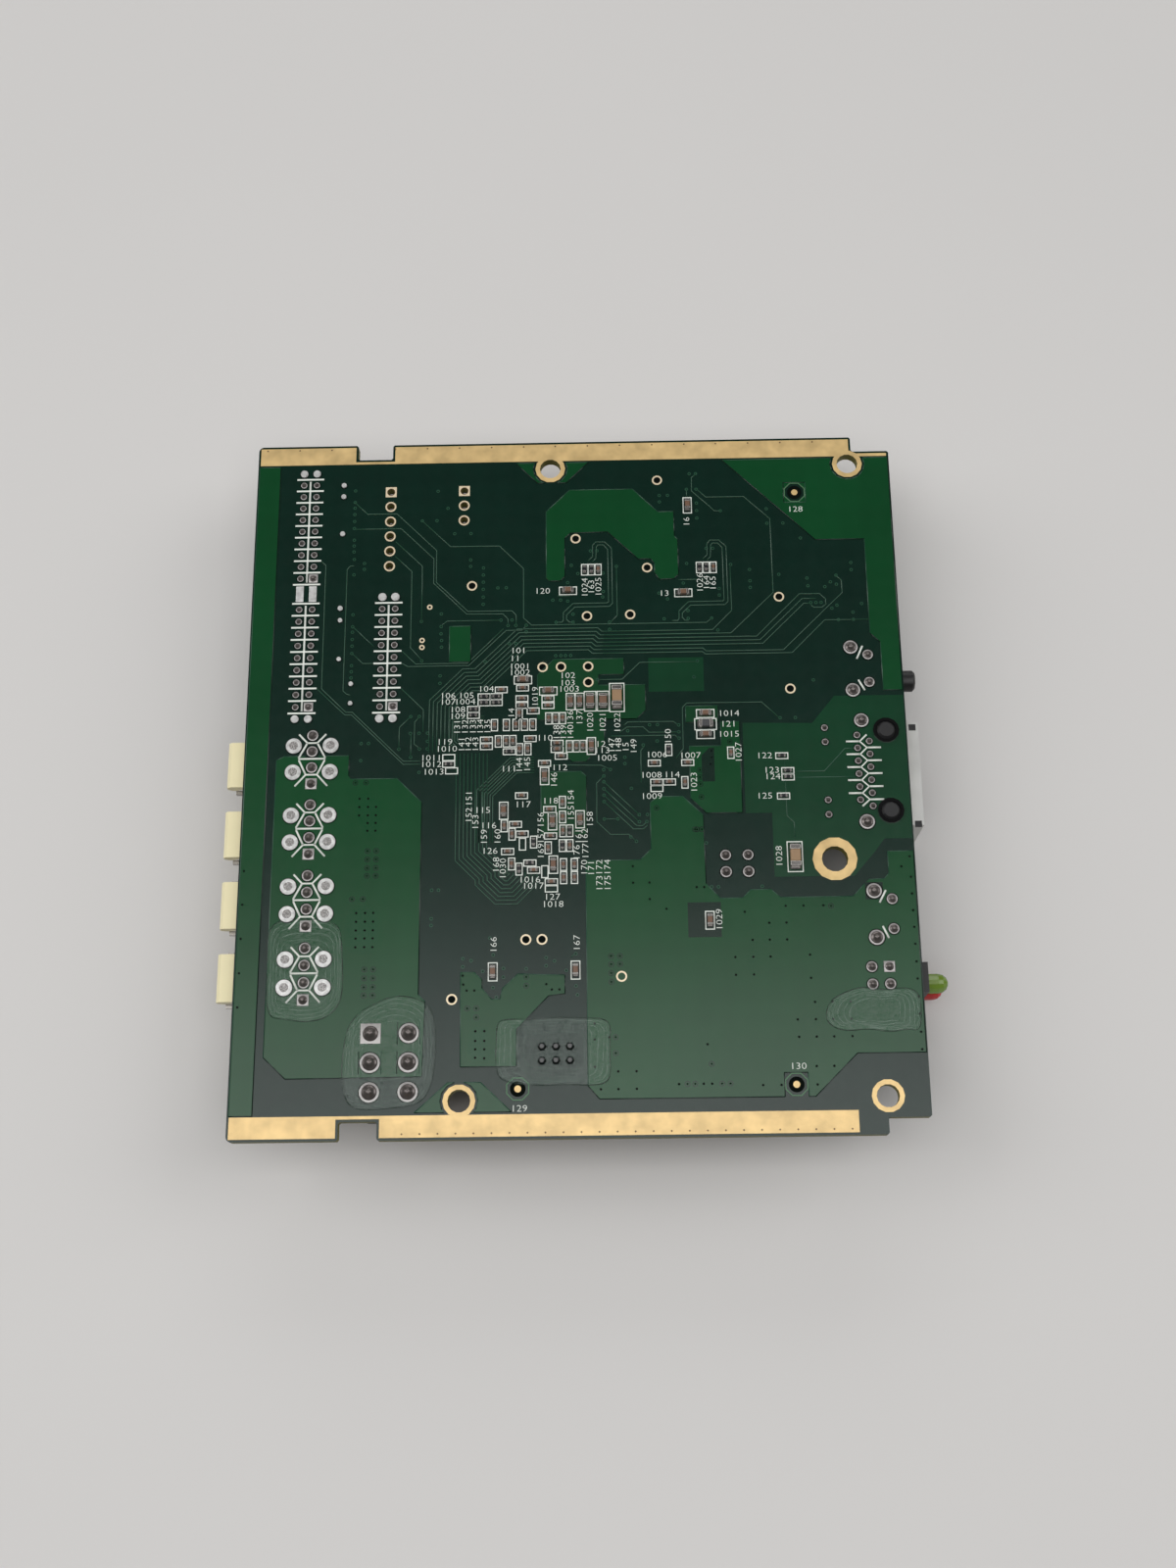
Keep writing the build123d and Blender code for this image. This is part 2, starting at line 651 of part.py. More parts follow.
# Power header: six deep cells round heavy pins, with a latch on the side away from the left edge
power_cells = grid(power_centre, 2, power_rows, power_cell_width + 0.25, power_pitch)
with BuildPart() as power_header_housing:
    with BuildSketch(Plane.XY.offset(component_face)):
        with Locations(power_centre):
            Rectangle(power_housing_width, power_housing_length)
        with Locations(*power_pins):
            Rectangle(power_pin_width, power_pin_width, mode=Mode.SUBTRACT)
    extrude(amount=-power_header_height)
    with BuildSketch(Plane.XY.offset(component_face - power_header_height)):
        with Locations(*power_cells):
            Rectangle(power_cell_width, power_cell_length)
    extrude(amount=power_cell_depth, mode=Mode.SUBTRACT)
    with Locations((power_centre[0] + power_housing_width / 2, power_centre[1], power_latch_z)):
        Box(
            power_latch_depth, power_latch_width, power_latch_height,
            align=(Align.MIN, Align.CENTER, Align.MIN),
        )
    latch_edges = power_header_housing.edges().filter_by(Axis.Y).group_by(Axis.X)[-1]
    chamfer(latch_edges.sort_by(Axis.Z)[0], power_latch_depth * 0.8)
finish(power_header_housing, "power_header_housing")

with BuildPart() as power_header_pins:
    with Locations(*spots(power_pins, solder_face)):
        Box(
            power_pin_width, power_pin_width, board_thickness + power_pin_reach,
            align=(Align.CENTER, Align.CENTER, Align.MAX),
        )
finish(power_header_pins, "power_header_pins")

# Signal header and the two jumper headers: plain bases with square pins
with BuildPart() as signal_header_housing:
    with BuildSketch(Plane.XY.offset(component_face)):
        with Locations(signal_centre):
            Rectangle(signal_housing_length, signal_housing_width)
        with Locations(*signal_pins):
            Rectangle(header_pin_width, header_pin_width, mode=Mode.SUBTRACT)
    extrude(amount=-signal_housing_height)
finish(signal_header_housing, "signal_header_housing")

with BuildPart() as signal_header_pins:
    with Locations(*spots(signal_pins, solder_face)):
        Box(
            header_pin_width, header_pin_width, board_thickness + signal_pin_reach,
            align=(Align.CENTER, Align.CENTER, Align.MAX),
        )
finish(signal_header_pins, "signal_header_pins")

with BuildPart() as jumper_housings:
    with BuildSketch(Plane.XY.offset(component_face)):
        with Locations(*[(x, jumper_y) for x in jumper_xs]):
            Rectangle(jumper_housing_width, 2 * jumper_pitch)
        with Locations(*jumper_pins):
            Rectangle(fan_pin_width, fan_pin_width, mode=Mode.SUBTRACT)
    extrude(amount=-jumper_housing_height)
finish(jumper_housings, "jumper_housings")

with BuildPart() as jumper_header_pins:
    with Locations(*spots(jumper_pins, solder_face)):
        Box(
            fan_pin_width, fan_pin_width, board_thickness + jumper_pin_reach,
            align=(Align.CENTER, Align.CENTER, Align.MAX),
        )
finish(jumper_header_pins, "jumper_header_pins")

# Network jack: folded shell with a port window, plastic insert, spring contacts and pins
jack_top = component_face
jack_insert_top = jack_top - jack_sheet
jack_port_ceiling = jack_top - jack_port_top_gap
jack_port_floor = jack_port_ceiling - jack_port_height
jack_inner_width = jack_width - 2 * jack_sheet
jack_insert_front = jack_front - jack_sheet
jack_window_margin = 0.2
jack_pin_window_front = right_edge - 0.6
with BuildPart() as jack_shell:
    with Locations((jack_back, jack_middle_y, jack_top)):
        Box(jack_depth, jack_width, jack_height, align=(Align.MIN, Align.CENTER, Align.MAX))
    with Locations((jack_back + jack_sheet, jack_middle_y, jack_insert_top)):
        Box(
            jack_depth - 2 * jack_sheet, jack_inner_width, jack_height - 2 * jack_sheet,
            align=(Align.MIN, Align.CENTER, Align.MAX), mode=Mode.SUBTRACT,
        )
    with Locations((jack_pin_window_front, jack_middle_y, jack_top)):
        Box(
            jack_pin_window_front - jack_back - jack_sheet, jack_inner_width, 2 * jack_sheet,
            align=(Align.MAX, Align.CENTER, Align.CENTER), mode=Mode.SUBTRACT,
        )
    with BuildSketch(Plane.YZ.offset(jack_insert_front)):
        with Locations((jack_middle_y, jack_port_ceiling + jack_window_margin)):
            Rectangle(
                jack_port_width + 2 * jack_window_margin, jack_port_height + 2 * jack_window_margin,
                align=(Align.CENTER, Align.MAX),
            )
        with Locations((jack_middle_y, jack_port_floor)):
            Rectangle(
                jack_latch_width + 2 * jack_window_margin, 2 * (jack_latch_height + jack_window_margin),
            )
    extrude(amount=jack_sheet, mode=Mode.SUBTRACT)
    with BuildSketch(Plane.XY.offset(component_face)):
        with Locations(*jack_tails):
            Rectangle(jack_tail_width, jack_sheet)
    extrude(amount=board_thickness)
finish(jack_shell, "jack_shell")

with BuildPart() as jack_insert:
    with Locations((jack_insert_front, jack_middle_y, jack_insert_top)):
        Box(
            jack_depth - 2 * jack_sheet, jack_inner_width, jack_height - 2 * jack_sheet,
            align=(Align.MAX, Align.CENTER, Align.MAX),
        )
    with BuildSketch(Plane.YZ.offset(jack_insert_front)):
        with Locations((jack_middle_y, jack_port_ceiling)):
            Rectangle(jack_port_width, jack_port_height, align=(Align.CENTER, Align.MAX))
        with Locations((jack_middle_y, jack_port_floor)):
            Rectangle(jack_latch_width, 2 * jack_latch_height)
    extrude(amount=-jack_port_depth, mode=Mode.SUBTRACT)
    with BuildSketch(Plane.XY.offset(jack_insert_top)):
        with Locations(*jack_pegs):
            RegularPolygon(jack_peg_diameter / 2, ring_sides)
    extrude(amount=jack_sheet + board_thickness + jack_peg_reach)
    chamfer(jack_insert.edges().group_by(Axis.Z)[-1], jack_peg_reach * 0.7)
finish(jack_insert, "jack_insert")

contact_front = jack_insert_front - 2.0
contact_back = contact_front - jack_contact_length
with BuildPart() as jack_contacts:
    for contact in grid((contact_front, jack_middle_y), 1, jack_contact_count, 1, jack_contact_pitch):
        with BuildSketch(Plane.XZ.offset(-contact[1])):
            with BuildLine():
                Polyline(
                    (contact_front, jack_port_ceiling),
                    (contact_back, jack_port_ceiling - jack_contact_drop),
                    (contact_back, jack_port_ceiling - jack_contact_drop + jack_contact_thickness),
                    (contact_front - 3 * jack_contact_thickness, jack_port_ceiling),
                    close=True,
                )
            make_face()
        extrude(amount=jack_contact_width / 2, both=True)
finish(jack_contacts, "jack_contacts")

with BuildPart() as jack_pins:
    with Locations(*spots(jack_signal_pins, solder_face)):
        Box(
            jack_pin_width, jack_pin_width, board_thickness + jack_sheet,
            align=(Align.CENTER, Align.CENTER, Align.MAX),
        )
finish(jack_pins, "jack_pins")

# Side push buttons: housing with a plunger pocket, metal bracket, pins and plunger
button_axis_height = component_face - button_plunger_depth
for name, button in buttons.items():
    pins_x, middle_y = button["pins"]
    housing_front = pins_x + button_front_step
    housing_back = housing_front - button_housing_thickness
    plunger_base = housing_front - button_plunger_seat
    plunger_length = button["tip"] - plunger_base
    axis_plane = Plane((housing_front, middle_y, button_axis_height), x_dir=(0, 1, 0), z_dir=(1, 0, 0))
    with BuildPart() as button_housing:
        with Locations((housing_front, middle_y, component_face)):
            Box(
                button_housing_thickness, button_housing_width, button_housing_height,
                align=(Align.MAX, Align.CENTER, Align.MAX),
            )
        with BuildSketch(axis_plane):
            Circle(button_plunger_diameter / 2 + button_clearance)
        extrude(amount=-button_pocket_depth, mode=Mode.SUBTRACT)
    finish(button_housing, f"{name}_button_housing")
    with BuildPart() as button_bracket:
        with Locations((housing_back, middle_y, component_face)):
            Box(
                button_bracket_sheet, button_housing_width + 2 * button_bracket_sheet, button_housing_height,
                align=(Align.MAX, Align.CENTER, Align.MAX),
            )
        for side in (1, -1):
            with Locations((housing_back, middle_y + side * button_housing_width / 2, component_face)):
                Box(
                    button_ear_length, button_bracket_sheet, button_housing_height,
                    align=(Align.MIN, Align.MIN if side > 0 else Align.MAX, Align.MAX),
                )
        with Locations(*spots(button_legs[name], solder_face)):
            Box(
                button_leg_thickness, button_leg_width, board_thickness + button_leg_reach,
                align=(Align.CENTER, Align.CENTER, Align.MAX),
            )
    finish(button_bracket, f"{name}_button_bracket")
    with BuildPart() as button_pin_pair:
        with Locations(*spots(button_pins[name], solder_face)):
            Box(
                button_pin_width, button_pin_width, board_thickness,
                align=(Align.CENTER, Align.CENTER, Align.MAX),
            )
    finish(button_pin_pair, f"{name}_button_pins")
    with BuildPart() as button_plunger:
        with BuildSketch(axis_plane.offset(-button_plunger_seat)):
            Circle(button_plunger_diameter / 2)
        extrude(amount=plunger_length)
        chamfer(button_plunger.edges().group_by(Axis.X)[-1], button_tip_chamfer)
    finish(button_plunger, f"{name}_button_plunger")

# Lamp block: a black holder with two lamps, one over the other
lamp_x, lamp_y = lamp_middle
lamp_heights = {
    "green": component_face - lamp_green_depth,
    "red": component_face - lamp_red_depth,
}
with BuildPart() as lamp_holder:
    with Locations((lamp_block_front, lamp_y, component_face)):
        Box(
            lamp_block_depth, lamp_block_width, lamp_block_height,
            align=(Align.MAX, Align.CENTER, Align.MAX),
        )
    with BuildSketch(Plane.YZ.offset(lamp_block_front)):
        with Locations(*[(lamp_y, height) for height in lamp_heights.values()]):
            RegularPolygon(lamp_diameter / 2 + lamp_fit, ring_sides, major_radius=False)
    extrude(amount=-lamp_seat, mode=Mode.SUBTRACT)
finish(lamp_holder, "lamp_holder")

dome_angles = [0, 28, 52, 73]
dome_reach = sin(radians(dome_angles[-1]))
lamp_sections = [(lamp_block_front - lamp_seat, lamp_diameter / 2)] + [
    (
        lamp_tip - lamp_diameter / 2 * (1 - sin(radians(angle)) / dome_reach),
        lamp_diameter / 2 * cos(radians(angle)),
    )
    for angle in dome_angles
]
for colour, height in lamp_heights.items():
    with BuildPart() as lamp:
        for x, radius in lamp_sections:
            with BuildSketch(Plane.YZ.offset(x)):
                with Locations((lamp_y, height)):
                    RegularPolygon(radius, ring_sides)
        loft(ruled=True)
    finish(lamp, f"lamp_{colour}")

with BuildPart() as lamp_leads:
    with Locations(*spots(lamp_pins, solder_face)):
        Box(lamp_pin_width, lamp_pin_width, board_thickness, align=(Align.CENTER, Align.CENTER, Align.MAX))
finish(lamp_leads, "lamp_leads")

# Chips on the soldered side. "across" lie along X, "upright" along Y.
chip_places = {
    "tiny_capacitors": {
        "size": "tiny",
        "across": [
            (41.85, 67.3), (38.6, 67.05), (41.75, 65.6), (41.75, 64.5), (43.45, 63.6), (36.4, 59.05),
            (36.4, 58.0), (43.0, 59.15), (45.7, 65.5), (45.7, 64.4), (47.05, 58.35), (47.05, 57.4),
            (47.65, 56.3), (45.15, 55.2), (41.7, 50.2), (40.8, 45.75), (41.8, 44.25), (45.9, 48.0),
            (46.0, 43.9), (39.65, 41.6), (43.5, 38.7), (46.1, 36.9), (61.6, 55.0), (66.6, 55.0),
            (61.9, 52.0), (63.8, 52.0),
        ],
        "upright": [
            (53.55, 86.7), (71.4, 86.75), (41.35, 63.2), (37.6, 61.4), (39.4, 61.4), (40.85, 61.4),
            (42.15, 61.4), (43.4, 61.4), (38.2, 58.8), (39.4, 58.8), (40.4, 58.8), (41.4, 57.5),
            (42.65, 57.5), (45.8, 62.35), (46.85, 62.35), (47.9, 62.35), (48.9, 57.85), (49.95, 57.85),
            (50.95, 57.85), (39.15, 45.55), (40.3, 44.25), (47.8, 49.1), (47.8, 46.8), (47.85, 44.65),
            (45.65, 42.1), (48.85, 42.4), (40.25, 39.7), (47.9, 39.5), (49.5, 39.5), (47.9, 37.5),
            (49.5, 37.5), (66.1, 51.9), (73.1, 56.45),
        ],
    },
    "small_capacitors": {
        "size": "small",
        "across": [(48.85, 83.2), (66.65, 82.55), (41.9, 68.6), (45.75, 66.75), (69.45, 62.75), (69.4, 59.4)],
        "upright": [
            (67.65, 97.4), (49.1, 65.0), (50.5, 65.0), (52.2, 57.85), (45.15, 53.2), (39.05, 47.9),
            (46.3, 46.15), (50.4, 46.4), (46.4, 39.5), (69.2, 30.8), (37.55, 23.6), (49.55, 23.7),
        ],
    },
    "medium_capacitors": {"size": "medium", "across": [], "upright": [(52.1, 65.0), (54.05, 65.0)]},
    "large_capacitors": {"size": "large", "across": [], "upright": [(56.15, 65.55), (82.0, 40.2)]},
    "ferrite_bead": {"size": "medium", "across": [(69.45, 61.05)], "upright": []},
    "tiny_resistors": {
        "size": "tiny",
        "across": [
            (36.0, 66.0), (37.85, 66.0), (36.0, 65.0), (37.85, 65.0), (34.4, 64.0), (34.4, 63.0),
            (39.85, 57.15), (42.95, 39.8), (80.7, 55.85), (81.5, 53.5), (81.5, 52.5), (80.7, 49.55),
            (30.75, 55.3),
        ],
        "upright": [
            (51.45, 86.7), (52.5, 86.7), (69.25, 86.75), (70.3, 86.75), (48.85, 44.65), (43.5, 43.0),
            (47.75, 42.4), (41.35, 38.9), (63.8, 57.05),
        ],
    },
}
for name, places in chip_places.items():
    length, width, height = chip_sizes[places["size"]]
    with BuildPart() as chips:
        with BuildSketch(Plane.XY.offset(solder_face + chip_stand_off)):
            if places["across"]:
                with Locations(*from_datum(places["across"])):
                    Rectangle(length, width)
            if places["upright"]:
                with Locations(*from_datum(places["upright"])):
                    Rectangle(width, length)
        extrude(amount=height)
    finish(chips, name)

# Leadless chips on the component side: middle, size in plan, height
far_block_y = board_length - 0.3
flat_chips = {
    "processor": ([(46.0, 61.0)], (15.0, 15.0), 1.4),
    "memory_chip": ([(42.5, 44.0)], (9.0, 13.0), 1.1),
    "flash_memory": ([(29.5, 44.0)], (11.5, 13.0), 1.0),
    "network_chip": ([(63.8, 54.0)], (6.0, 6.0), 0.9),
    "converter_chips": (
        [(52.0, far_block_y - 20.3), (70.0, far_block_y - 20.3), (58.5, 30.0)], (5.0, 5.0), 1.0,
    ),
    "crystals": ([(53.5, 50.8), (66.0, 61.0)], (3.2, 2.5), 0.8),
    "inductors": (
        [(56.5, far_block_y - 12.3), (74.5, far_block_y - 12.3), (66.0, 30.0)], (10.0, 10.0), 4.2,
    ),
}
flat_chip_bevel = 0.15
for name, (places, size, height) in flat_chips.items():
    with BuildPart() as flat_chip:
        with BuildSketch(Plane.XY.offset(component_face)):
            with Locations(*from_datum(places)):
                Rectangle(*size)
        extrude(amount=-height)
        chamfer(flat_chip.faces().filter_by(Axis.Z).group_by(Axis.Z)[0].edges(), flat_chip_bevel)
    finish(flat_chip, name)

# Can capacitors: an aluminium can on a square plastic foot
can_places = from_datum(
    [(61.5, far_block_y - 28.8), (44.0, far_block_y - 14.8), (78.0, far_block_y - 24.3)]
)
can_diameter = 10.0
can_foot_width = 10.3
can_foot_height = 1.2
can_foot_cut = 1.8
can_shoulder = 0.6
can_sides = 24
with BuildPart() as can_capacitors:
    with BuildSketch(Plane.XY.offset(component_face - can_foot_height)):
        with Locations(*can_places):
            RegularPolygon(can_diameter / 2, can_sides)
    extrude(amount=can_foot_height - can_height)
    chamfer(can_capacitors.edges().group_by(Axis.Z)[0], can_shoulder)
finish(can_capacitors, "can_capacitors")

with BuildPart() as can_feet:
    with BuildSketch(Plane.XY.offset(component_face)) as foot_outline:
        with Locations(*can_places):
            Rectangle(can_foot_width, can_foot_width)
        chamfer(foot_outline.vertices().filter_by(lambda v: v.X > min(x for x, y in can_places)), can_foot_cut)
    extrude(amount=-can_foot_height)
finish(can_feet, "can_feet")
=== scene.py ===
"""Dresses the control board for its picture: finishes, solder, chips, print, traces, light and camera.

The board lies component side down, and its grid is in millimetres from the datum near its lower left corner.
Sizes in the classes are millimetres, but for the studio's, which are metres. Board.at turns a place on the
grid into the row's metres.
"""

import json
import logging
import math
from abc import ABC, abstractmethod
from collections.abc import Iterator, Sequence
from contextlib import contextmanager
from dataclasses import dataclass, field
from enum import Enum
from typing import ClassVar

import bpy
from mathutils import Matrix, Vector


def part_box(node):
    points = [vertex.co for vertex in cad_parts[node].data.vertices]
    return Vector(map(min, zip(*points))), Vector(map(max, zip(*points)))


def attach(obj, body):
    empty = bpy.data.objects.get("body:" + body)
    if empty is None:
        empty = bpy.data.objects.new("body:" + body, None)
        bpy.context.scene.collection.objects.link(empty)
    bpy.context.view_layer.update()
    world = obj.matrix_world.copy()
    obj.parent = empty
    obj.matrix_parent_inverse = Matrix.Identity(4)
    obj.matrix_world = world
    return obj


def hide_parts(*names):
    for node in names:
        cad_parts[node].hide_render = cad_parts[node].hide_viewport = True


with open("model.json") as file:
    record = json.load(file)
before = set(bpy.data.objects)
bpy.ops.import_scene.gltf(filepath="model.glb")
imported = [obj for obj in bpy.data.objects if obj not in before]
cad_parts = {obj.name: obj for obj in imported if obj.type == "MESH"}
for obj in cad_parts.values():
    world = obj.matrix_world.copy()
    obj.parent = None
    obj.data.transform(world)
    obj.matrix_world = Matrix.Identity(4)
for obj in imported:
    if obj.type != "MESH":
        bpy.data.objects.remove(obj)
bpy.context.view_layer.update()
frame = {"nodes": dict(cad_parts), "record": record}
nodes: dict[str, bpy.types.Object] = frame["nodes"]

logger = logging.getLogger("control_board")

Point = tuple[float, float]
Line = Sequence[Point]
Colour = tuple[float, float, float]
Spot = tuple[Vector, float]

MILLIMETRE = 0.001
UP = Vector((0, 0, 1))

# A face looks along a direction where the cosine between the two is over this
FACING = 0.9

# Corners are matched in steps of a ten-millionth of a metre
CORNER_STEPS = 1e7

# Heights in millimetres: the dark films, which stand for holes as painted shade, and the open ring of the
# mask round a pad
DARK_FILM = 0.012
OPENING_HEIGHT = 0.055

# How far the open ring reaches under its pad, in millimetres
OPENING_OVERLAP = 0.02

# The wave texture multiplies its scale by this
WAVE_FACTOR = 20.0

# A pad over this many times as long as it is wide gets a plate, not a dome
LONG_PAD = 1.5


def crossings(across: Sequence[float], along: Sequence[float]) -> tuple[Point, ...]:
    """List the crossings of a grid from its places along X and along Y."""
    return tuple((x, y) for y in along for x in across)


def circle(radius: float, sides: int, middle: Point = (0.0, 0.0), first: float = 0.0) -> list[Point]:
    """List the corners of an even polygon, in the unit that its radius has.

    Args:
        radius: Distance of the corners from the middle.
        sides: Number of sides.
        middle: Its middle.
        first: Turn of its first corner, as a share of a side.

    Returns:
        The corners.
    """
    turns = [2 * math.pi * (step + first) / sides for step in range(sides)]
    return [(middle[0] + radius * math.cos(turn), middle[1] + radius * math.sin(turn)) for turn in turns]


class Layer(Enum):
    """Height of each thin layer over the bare soldered side, in millimetres."""

    INNER_COPPER = 0.004
    TRACE = 0.012
    POUR = 0.05
    PRINT = 0.06
    GLUE = 0.09


class Turn(Enum):
    """Which way a chip or a label lies on the board, as a quarter turn or none."""

    ACROSS = 0.0
    UPRIGHT = math.pi / 2


@dataclass(frozen=True)
class Solid:
    """One closed solid of a CAD node, as its box in metres."""

    low: Vector
    high: Vector

    @property
    def middle(self) -> Vector:
        """Middle of the box."""
        return (self.low + self.high) / 2

    @property
    def size(self) -> Vector:
        """Lengths of the box along X, Y and Z."""
        return self.high - self.low

    @property
    def length(self) -> float:
        """The longer of its lengths along X and Y."""
        return max(self.size.x, self.size.y)

    @property
    def width(self) -> float:
        """The shorter of its lengths along X and Y."""
        return min(self.size.x, self.size.y)

    @property
    def long(self) -> bool:
        """Whether the solid is a long pad, which lies along Y."""
        return self.size.y > LONG_PAD * self.size.x

    @property
    def turn(self) -> Turn:
        """Whether the solid is longer along X or along Y."""
        return Turn.ACROSS if self.size.x >= self.size.y else Turn.UPRIGHT


def solids_of(node: str) -> list[Solid]:
    """Find the separate solids of a CAD node by the corners that its faces share.

    Args:
        node: Name of the CAD node.

    Returns:
        One box for each solid.
    """
    mesh = nodes[node].data
    parents: dict[tuple[int, ...], tuple[int, ...]] = {}

    def root(key: tuple[int, ...]) -> tuple[int, ...]:
        """Follow a corner to the one that stands for its solid."""
        while parents[key] != key:
            parents[key] = parents[parents[key]]
            key = parents[key]
        return key

    keys = [tuple(round(value * CORNER_STEPS) for value in vertex.co) for vertex in mesh.vertices]
    for key in keys:
        parents.setdefault(key, key)
    for polygon in mesh.polygons:
        first = root(keys[polygon.vertices[0]])
        for index in polygon.vertices[1:]:
            parents[root(keys[index])] = first
    groups: dict[tuple[int, ...], list[Vector]] = {}
    for key, vertex in zip(keys, mesh.vertices):
        groups.setdefault(root(key), []).append(vertex.co)
    return [
        Solid(
            Vector(min(corner[axis] for corner in group) for axis in range(3)),
            Vector(max(corner[axis] for corner in group) for axis in range(3)),
        )
        for group in groups.values()
    ]


@dataclass(frozen=True)
class Board:
    """Edges and soldered face of the printed board, as the frame gives them."""

    low: Vector
    high: Vector
    datum_inset: Point = (0.1, 0.3)

    def at(self, x: float, y: float, rise: float = 0.0) -> Vector:
        """Turn a place on the board's grid into the row's metres.

        Args:
            x: Millimetres to the right of the datum.
            y: Millimetres to the far side of the datum.
            rise: Millimetres over the soldered side.

        Returns:
            The place in the row's frame.
        """
        left = self.low.x + self.datum_inset[0] * MILLIMETRE
        near = self.low.y + self.datum_inset[1] * MILLIMETRE
        return Vector((left + x * MILLIMETRE, near + y * MILLIMETRE, self.high.z + rise * MILLIMETRE))

    def over(self, place: Vector, rise: float) -> Vector:
        """Lift a place in the row to a height over the soldered side, in millimetres."""
        return Vector((place.x, place.y, self.high.z + rise * MILLIMETRE))

    def spots(self, points: Sequence[Point], rise: float, turn: float = 0.0) -> list[Spot]:
        """Turn points on the grid into places for stamp, all at one height and one turn."""
        return [(self.at(x, y, rise), turn) for x, y in points]


def deselect() -> None:
    """Leave object mode with nothing selected."""
    if bpy.context.object and bpy.context.object.mode != "OBJECT":
        bpy.ops.object.mode_set(mode="OBJECT")
    bpy.ops.object.select_all(action="DESELECT")


def pick(*objects: bpy.types.Object) -> None:
    """Select these objects alone and make the first one active."""
    deselect()
    for piece in objects:
        piece.select_set(True)
    bpy.context.view_layer.objects.active = objects[0]


@contextmanager
def editing(piece: bpy.types.Object) -> Iterator[None]:
    """Hold one piece in edit mode for the lines inside."""
    pick(piece)
    bpy.ops.object.mode_set(mode="EDIT")
    yield
    bpy.ops.object.mode_set(mode="OBJECT")


def choose_faces(piece: bpy.types.Object, direction: Vector) -> None:
    """Select the faces that look along a unit vector, from inside edit mode."""
    bpy.ops.mesh.select_all(action="DESELECT")
    bpy.ops.object.mode_set(mode="OBJECT")
    for polygon in piece.data.polygons:
        polygon.select = polygon.normal.dot(direction) > FACING
    bpy.ops.object.mode_set(mode="EDIT")


def settle(piece: bpy.types.Object) -> bpy.types.Object:
    """Move a piece's place into its mesh, and stand its object at the origin."""
    piece.data.transform(piece.matrix_world)
    piece.matrix_world = Matrix.Identity(4)
    return piece


def as_mesh(piece: bpy.types.Object) -> bpy.types.Object:
    """Turn a curve or a text into a mesh that stands at the origin."""
    pick(piece)
    bpy.ops.object.convert(target="MESH")
    return settle(bpy.context.object)


def add_object(name: str, data: bpy.types.ID) -> bpy.types.Object:
    """Put new data into the scene as an object."""
    piece = bpy.data.objects.new(name, data)
    bpy.context.scene.collection.objects.link(piece)
    return piece


def join(pieces: Sequence[bpy.types.Object], name: str) -> bpy.types.Object:
    """Join pieces into one object.

    Args:
        pieces: Objects to join, at least one.
        name: Name of the joined object.

    Returns:
        The joined object.
    """
    pick(*pieces)
    if len(pieces) > 1:
        bpy.ops.object.join()
    joined = bpy.context.object
    joined.name = name
    return joined


def stamp(model: bpy.types.Object, places: Sequence[Spot], name: str) -> bpy.types.Object:
    """Copy a model to each place, each copy with its own mesh, and join the copies.

    Args:
        model: The piece modelled at the origin. It is used up.
        places: For each copy its place, and its turn about Z in radians.
        name: Name of the joined object.

    Returns:
        All the copies as one object.
    """
    copies = []
    for place, turn in places:
        mesh = model.data.copy()
        mesh.transform(Matrix.Translation(place) @ Matrix.Rotation(turn, 4, "Z"))
        copies.append(add_object(name, mesh))
    bpy.data.objects.remove(model)
    return join(copies, name)


def flat_plate(outlines: Sequence[Line], thickness: float, name: str) -> bpy.types.Object:
    """Fill closed outlines as one flat plate. An outline inside another is a hole.

    Args:
        outlines: Closed outlines in metres.
        thickness: Thickness of the plate in metres, upwards from its outline.
        name: Name of the plate.

    Returns:
        The plate as a mesh.
    """
    curve = bpy.data.curves.new(name, "CURVE")
    curve.dimensions = "2D"
    curve.fill_mode = "BOTH"
    curve.extrude = thickness / 2
    for outline in outlines:
        spline = curve.splines.new("POLY")
        spline.points.add(len(outline) - 1)
        spline.use_cyclic_u = True
        for point, (x, y) in zip(spline.points, outline):
            point.co = (x, y, 0, 1)
    plate = add_object(name, curve)
    plate.location.z = thickness / 2
    bpy.context.view_layer.update()
    return as_mesh(plate)


def pierced_square(
    reach: float, hole: float, thickness: float, sides: int, name: str, first: float = 0.0
) -> bpy.types.Object:
    """Model a square plate with a round hole in its middle.

    Args:
        reach: Half the square's width in millimetres.
        hole: Radius of the hole in millimetres.
        thickness: Thickness of the plate in millimetres.
        sides: Number of sides of the hole.
        name: Name of the plate.
        first: Turn of the hole's first corner, as a share of a side.

    Returns:
        The plate at the origin.
    """
    half = reach * MILLIMETRE
    corners = [(-half, -half), (half, -half), (half, half), (-half, half)]
    edge = circle(hole * MILLIMETRE, sides, first=first)
    return flat_plate([corners, edge], thickness * MILLIMETRE, name)


